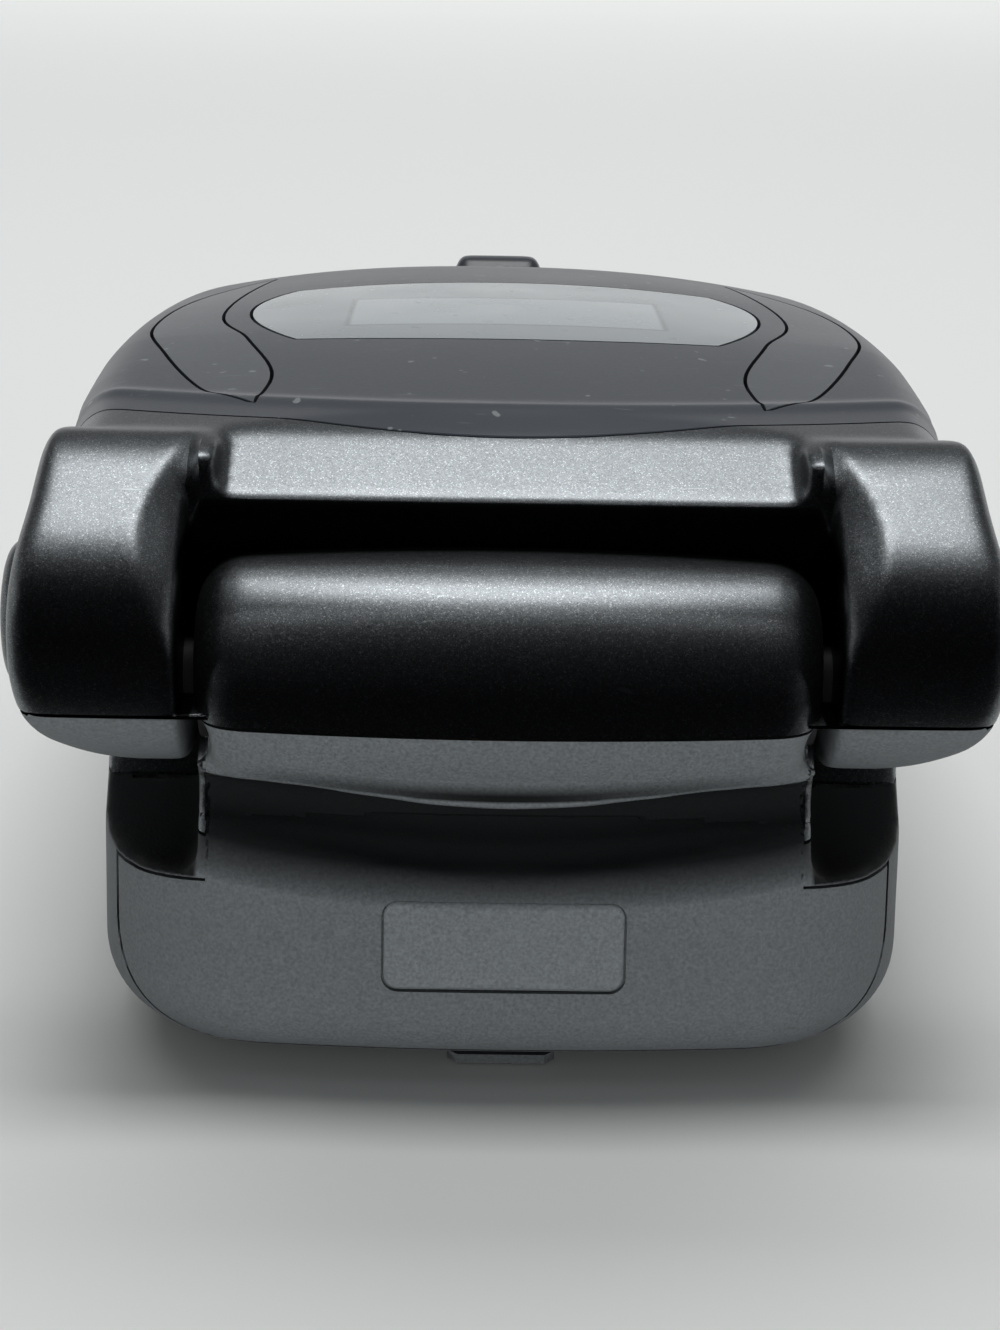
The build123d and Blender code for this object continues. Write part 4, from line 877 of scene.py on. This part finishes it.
# rods along the hinge: y and z in the middle, y and z at the ends, radius there and there
LIP = ((-41.1 * MM, 14.3 * MM), (-40.6 * MM, 15.5 * MM), 0.5 * MM, 0.4 * MM)
COVE = ((-41.0 * MM, 12.25 * MM), (-40.7 * MM, 13.6 * MM), 1.75 * MM, 1.5 * MM)
COVE_ROOT = ((-39.7 * MM, 12.7 * MM), (-39.5 * MM, 13.7 * MM), 1.2 * MM, 1.0 * MM)
COVE_REACH = 15.3 * MM
WALL_BOW = 0.45 * MM
WALL_BOW_LOW = 8.6 * MM
WALL_BOW_HIGH = 12.6 * MM
BARREL_FRONT_CROWN = 1.05 * MM
BARREL_TOP_CROWN = 0.55 * MM
PANEL_HALF = 18.6 * MM
PANEL_FOOT = 1.4 * MM
PANEL_CORNER = 5.0 * MM
PANEL_BACK_Y = -34.0 * MM
LINER_IN = 14.0 * MM
LINER_R = 9.95 * MM
CASE_SPLIT_Z = node_high("rear_case").z
WALL_LEAN = math.radians(7.6)
BADGE_CORNER = 0.7 * MM
BADGE_GAP = 0.07 * MM


def rod(name, points, radii):
    """A closed rod of changing thickness along a smooth line."""
    data = bpy.data.curves.new(name, "CURVE")
    data.dimensions = "3D"
    data.bevel_depth = 1.0
    data.bevel_resolution = 8
    data.use_fill_caps = True
    spline = data.splines.new("NURBS")
    spline.points.add(len(points) - 1)
    for knot, place, radius in zip(spline.points, points, radii):
        knot.co = (*place, 1.0)
        knot.radius = radius
    spline.order_u = 3
    spline.use_endpoint_u = True
    spline.resolution_u = 10
    made = bpy.data.objects.new(name, data)
    bpy.context.scene.collection.objects.link(made)
    select_only(made)
    bpy.ops.object.convert(target="MESH")
    made = bpy.context.object
    made.name = made.data.name = name
    bpy.ops.object.mode_set(mode="EDIT")
    bpy.ops.mesh.select_all(action="SELECT")
    bpy.ops.mesh.remove_doubles(threshold=0.001 * MM)
    bpy.ops.mesh.normals_make_consistent(inside=False)
    bpy.ops.object.mode_set(mode="OBJECT")
    return made


def bowed_rod(name, middle, end, radius, end_radius, reach):
    """A rod along the hinge, bowed back and up towards both ends."""
    (y0, z0), (y1, z1) = middle, end
    points, radii = [], []
    for i in range(9):
        across = (i - 4) / 4
        share = math.sin(math.pi / 2 * across) ** 2
        points.append((across * reach, y0 + (y1 - y0) * share, z0 + (z1 - z0) * share))
        radii.append(radius + (end_radius - radius) * share)
    return rod(name, points, radii)


def base_end_form():
    """The hinge end of the base as one closed skin: barrel, lip, cove, end wall and scoops."""
    pieces = [halved(merged_copy(node, node + "_form"), (0, HINGE_END_Y + 3 * MM, 0), (0, 1, 0))
              for node in BASE_NODES]
    low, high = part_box("badge_plate")
    fill = block("badge_fill", (low.x - MM, low.y + 0.5 * MM, low.z - MM),
                 (high.x + MM, high.y + 0.6 * MM, high.z + MM))
    pieces.append(leaning(fill, high))
    pieces.append(block("fold_backing", *FOLD_BACKING))
    pieces.append(bowed_rod("lip", *LIP, reach=BARREL_HALF))
    form = joined("base_end_form", *pieces)
    softened(form, 0.28 * MM, 3)
    cut(form, bowed_rod("cove", *COVE, reach=COVE_REACH))
    cut(form, bowed_rod("cove_root", *COVE_ROOT, reach=COVE_REACH))
    softened(form, 0.28 * MM, 7)
    for vertex in form.data.vertices:
        crown_barrel(vertex)
    return halved(form, (0, HINGE_END_Y, 0), (0, 1, 0))


def leaning(obj, corner):
    """Tilts a piece so that it follows the leaning end wall."""
    for vertex in obj.data.vertices:
        vertex.co.y += (vertex.co.z - corner.z) * math.tan(WALL_LEAN)
    return obj


def crown_barrel(vertex):
    """Bows the barrel and its lip back towards their ends."""
    spot = vertex.co
    if abs(spot.x) > BARREL_HALF + 0.2 * MM:
        return
    out = (spot.x / BARREL_HALF) ** 2
    if WALL_BOW_LOW < spot.z < WALL_BOW_HIGH and spot.y < -38.5 * MM:
        spot.y += WALL_BOW * ((spot.z - WALL_BOW_LOW) / (WALL_BOW_HIGH - WALL_BOW_LOW)) ** 2
    front = min(max((HINGE.y - spot.y) / (4 * MM), 0.0), 1.0)
    low = min(max((spot.z - 10.5 * MM) / (3 * MM), 0.0), 1.0)
    top = min(max((spot.z - HINGE.z) / (4 * MM), 0.0), 1.0)
    spot.y += BARREL_FRONT_CROWN * out * front * low
    spot.z -= BARREL_TOP_CROWN * out * top


def panel_tool(gap):
    """Space of the end panel, with room for the scoops' liners."""
    half, foot, top = PANEL_HALF + gap, PANEL_FOOT - gap, PANEL_SEAM_Z + gap
    corner = PANEL_CORNER + gap
    box = rounded_box_outline((-half, foot), (half, top), corner)
    outline = [spot for spot in box if spot[1] < top - corner]
    outline += [(half, top), (-half, top)]
    order = sorted(outline, key=lambda spot: math.atan2(spot[1] - 9 * MM, spot[0]))
    tool = prism("panel_tool", order, -60 * MM, PANEL_BACK_Y + gap, axis="Y")
    liners = both_sides(roller("liners", LINER_IN - gap, 40 * MM, HINGE.y, HINGE.z, LINER_R - gap))
    return cut(tool, liners)


def base_shells():
    """Parts the base's hinge end and joins it to the crisp rest of each case."""
    form = base_end_form()
    panel = cut(copy_of(form, "end_panel_skin"), panel_tool(0.0), "INTERSECT")
    cut(form, panel_tool(0.14 * MM))
    rear_end = halved(copy_of(form, "rear_end"), (0, 0, CASE_SPLIT_Z), (0, 0, 1))
    front_end = halved(form, (0, 0, CASE_SPLIT_Z + 0.1 * MM), (0, 0, -1))
    low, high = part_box("badge_plate")
    outline = rounded_box_outline((low.x, low.z), (high.x, high.z), BADGE_CORNER)
    recess = prism("recess", grown(outline, BADGE_GAP), low.y - 3 * MM, low.y + 0.2 * MM, axis="Y")
    cut(panel, leaning(recess, low))
    plate = prism("badge_plate_skin", outline, low.y + 0.02 * MM, low.y + 0.4 * MM, axis="Y")
    modified(plate, "BEVEL", width=0.16 * MM, segments=3, limit_method="ANGLE",
             angle_limit=math.radians(60))
    leaning(plate, low)
    cases = {"end_panel": panel, "badge_plate": plate}
    for node, end in (("front_case", front_end), ("rear_case", rear_end)):
        rest = halved(merged_copy(node, node + "_rest"), (0, HINGE_END_Y, 0), (0, -1, 0))
        cases[node] = joined(node + "_skin", rest, end)
    for node, piece in cases.items():
        dressed(piece, node)


# ---- operators -------------------------------------------------------------------------------------
CRISP_NODES = ("battery_pack", "side_cap_left", "side_cap_right", "volume_rocker", "battery_latch")


class PHONE_OT_finishes(bpy.types.Operator):
    """Makes every finish and gives each frame piece its own"""

    bl_idname = "phone.finishes"
    bl_label = "Finishes"

    def execute(self, context):
        scene = context.scene
        MATERIALS.update(finishes(scene.phone_colours, scene.phone_sizes))
        for node, obj in frame["nodes"].items():
            take_material(obj, material_of(node))
        return {"FINISHED"}


class PHONE_OT_fittings(bpy.types.Operator):
    """Gives the battery pack, the latch, the rocker and the hinge's caps smooth skins"""

    bl_idname = "phone.fittings"
    bl_label = "Fittings"

    def execute(self, context):
        for node in CRISP_NODES:
            crisp_piece(node)
        return {"FINISHED"}


class PHONE_OT_base(bpy.types.Operator):
    """Models the shells of the base"""

    bl_idname = "phone.base"
    bl_label = "Base"

    def execute(self, context):
        base_shells()
        return {"FINISHED"}


class PHONE_OT_lid(bpy.types.Operator):
    """Models the shells of the lid with its window and side panels"""

    bl_idname = "phone.lid"
    bl_label = "Lid"

    def execute(self, context):
        lid_shells()
        return {"FINISHED"}


class PHONE_OT_stage(bpy.types.Operator):
    """Adds the floor, the lights and the camera"""

    bl_idname = "phone.stage"
    bl_label = "Stage"

    def execute(self, context):
        floor_piece(context.scene.phone_colours)
        lights()
        camera()
        world()
        context.scene.view_settings.view_transform = "Standard"
        return {"FINISHED"}


# ---- stage -----------------------------------------------------------------------------------------
FLOOR_HALF = 6.0
CAMERA_PLACE = Vector((-0.00186, -0.1437, 0.0543))
CAMERA_PITCH = 18.0  # degrees below the horizon
CAMERA_YAW = -0.80
CAMERA_ROLL = 1.1
CAMERA_LENS = 65.0
CAMERA_SENSOR = 36.0


def floor_piece(colours):
    bpy.ops.object.select_all(action="DESELECT")
    bpy.ops.mesh.primitive_plane_add(size=2 * FLOOR_HALF, location=(0, 0, 0))
    floor = bpy.context.object
    floor.name = "floor"
    look = Look("floor", roughness=0.55)
    low, high = shade(0.985, colours.floor), shade(1.015, colours.floor)
    look.set("Base Color", look.mix(low, high, look.noise(0.4)))
    take_material(floor, look.material)


def area_light(name, place, target, size, power, tint=(1.0, 1.0, 1.0)):
    """A soft rectangular light aimed at a point."""
    data = bpy.data.lights.new(name, "AREA")
    data.shape = "RECTANGLE"
    data.size, data.size_y = size
    data.energy = power
    data.color = tint
    lamp = bpy.data.objects.new(name, data)
    bpy.context.scene.collection.objects.link(lamp)
    lamp.location = place
    lamp.rotation_euler = (Vector(target) - Vector(place)).to_track_quat("-Z", "Y").to_euler()
    return lamp


def studio_flag(name, low, high):
    """Black card that keeps the near side of the paint dark. The camera looks through it."""
    card = block(name, low, high)
    look = Look(name, roughness=0.9)
    look.set("Base Color", (0.004, 0.004, 0.005))
    look.set("Specular IOR Level", 0.0)
    take_material(card, look.material)
    card.visible_camera = False
    card.visible_shadow = False
    return card


def lights():
    area_light("overhead_light", (0.0, 0.030, 0.62), (0.0, -0.03, 0.02), (0.34, 0.15), 2.0)
    front = area_light("front_light", (0.0, -0.55, 0.020), (0.0, 0.0, 0.012), (0.9, 0.03), 4.0)
    far = area_light("far_light", (0.0, 1.3, 1.1), (0.0, 1.1, 0.0), (2.4, 1.4), 27.0)
    front.visible_glossy = far.visible_glossy = False
    floor_flag = studio_flag("floor_flag", (-0.5, -0.42, 0.0002), (0.5, -0.0435, 0.0004))
    floor_flag.visible_diffuse = False
    studio_flag("near_flag", (-1.2, -0.43, 0.0), (1.2, -0.425, 1.2))


def camera():
    data = bpy.data.cameras.new("camera")
    data.lens, data.sensor_width = CAMERA_LENS, CAMERA_SENSOR
    obj = bpy.data.objects.new("camera", data)
    bpy.context.scene.collection.objects.link(obj)
    turn = (Matrix.Rotation(math.radians(CAMERA_YAW), 4, "Z")
            @ Matrix.Rotation(math.radians(90 - CAMERA_PITCH), 4, "X")
            @ Matrix.Rotation(math.radians(CAMERA_ROLL), 4, "Z"))
    obj.matrix_world = Matrix.Translation(CAMERA_PLACE) @ turn
    data.clip_start, data.clip_end = 0.005, 20.0
    bpy.context.scene.camera = obj


def world():
    """Pale room, brightest just above the horizon."""
    made = bpy.data.worlds.new("room")
    made.use_nodes = True
    nodes = Nodes(made.node_tree)
    shader = next(n for n in made.node_tree.nodes if n.type == "BACKGROUND")
    rise = nodes.part("Z", nodes.node("ShaderNodeTexCoord", {}, output="Generated"))
    low = nodes.mix((1.0, 1.0, 1.0), (0.26, 0.27, 0.28), rise.above(0.12, 0.17))
    high = nodes.mix(low, (0.16, 0.165, 0.17), rise.above(0.3, 0.3))
    nodes.fill(shader.inputs["Color"], high)
    shader.inputs["Strength"].default_value = 1.0
    bpy.context.scene.world = made


# ---- panel and registration --------------------------------------------------------------------------
STEPS = (PHONE_OT_finishes, PHONE_OT_fittings, PHONE_OT_base, PHONE_OT_lid, PHONE_OT_stage)


class PHONE_PT_panel(bpy.types.Panel):
    """Lists the phone's colours, sizes and building steps"""

    bl_idname = "PHONE_PT_panel"
    bl_label = "Flip phone"
    bl_space_type = "VIEW_3D"
    bl_region_type = "UI"
    bl_category = "Flip phone"

    def draw(self, context):
        for group in (context.scene.phone_colours, context.scene.phone_sizes):
            for key in group.bl_rna.properties.keys():
                if key not in ("rna_type", "name"):
                    self.layout.prop(group, key)
        for step in STEPS:
            self.layout.operator(step.bl_idname)


CLASSES = (PhoneColours, PhoneSizes, *STEPS, PHONE_PT_panel)


def register():
    for made in CLASSES:
        bpy.utils.register_class(made)
    bpy.types.Scene.phone_colours = bpy.props.PointerProperty(type=PhoneColours)
    bpy.types.Scene.phone_sizes = bpy.props.PointerProperty(type=PhoneSizes)


def unregister():
    del bpy.types.Scene.phone_colours
    del bpy.types.Scene.phone_sizes
    for made in reversed(CLASSES):
        bpy.utils.unregister_class(made)


def main():
    register()
    bpy.ops.phone.finishes()
    bpy.ops.phone.fittings()
    bpy.ops.phone.base()
    bpy.ops.phone.lid()
    bpy.ops.phone.stage()


if __name__ == "__main__":
    main()
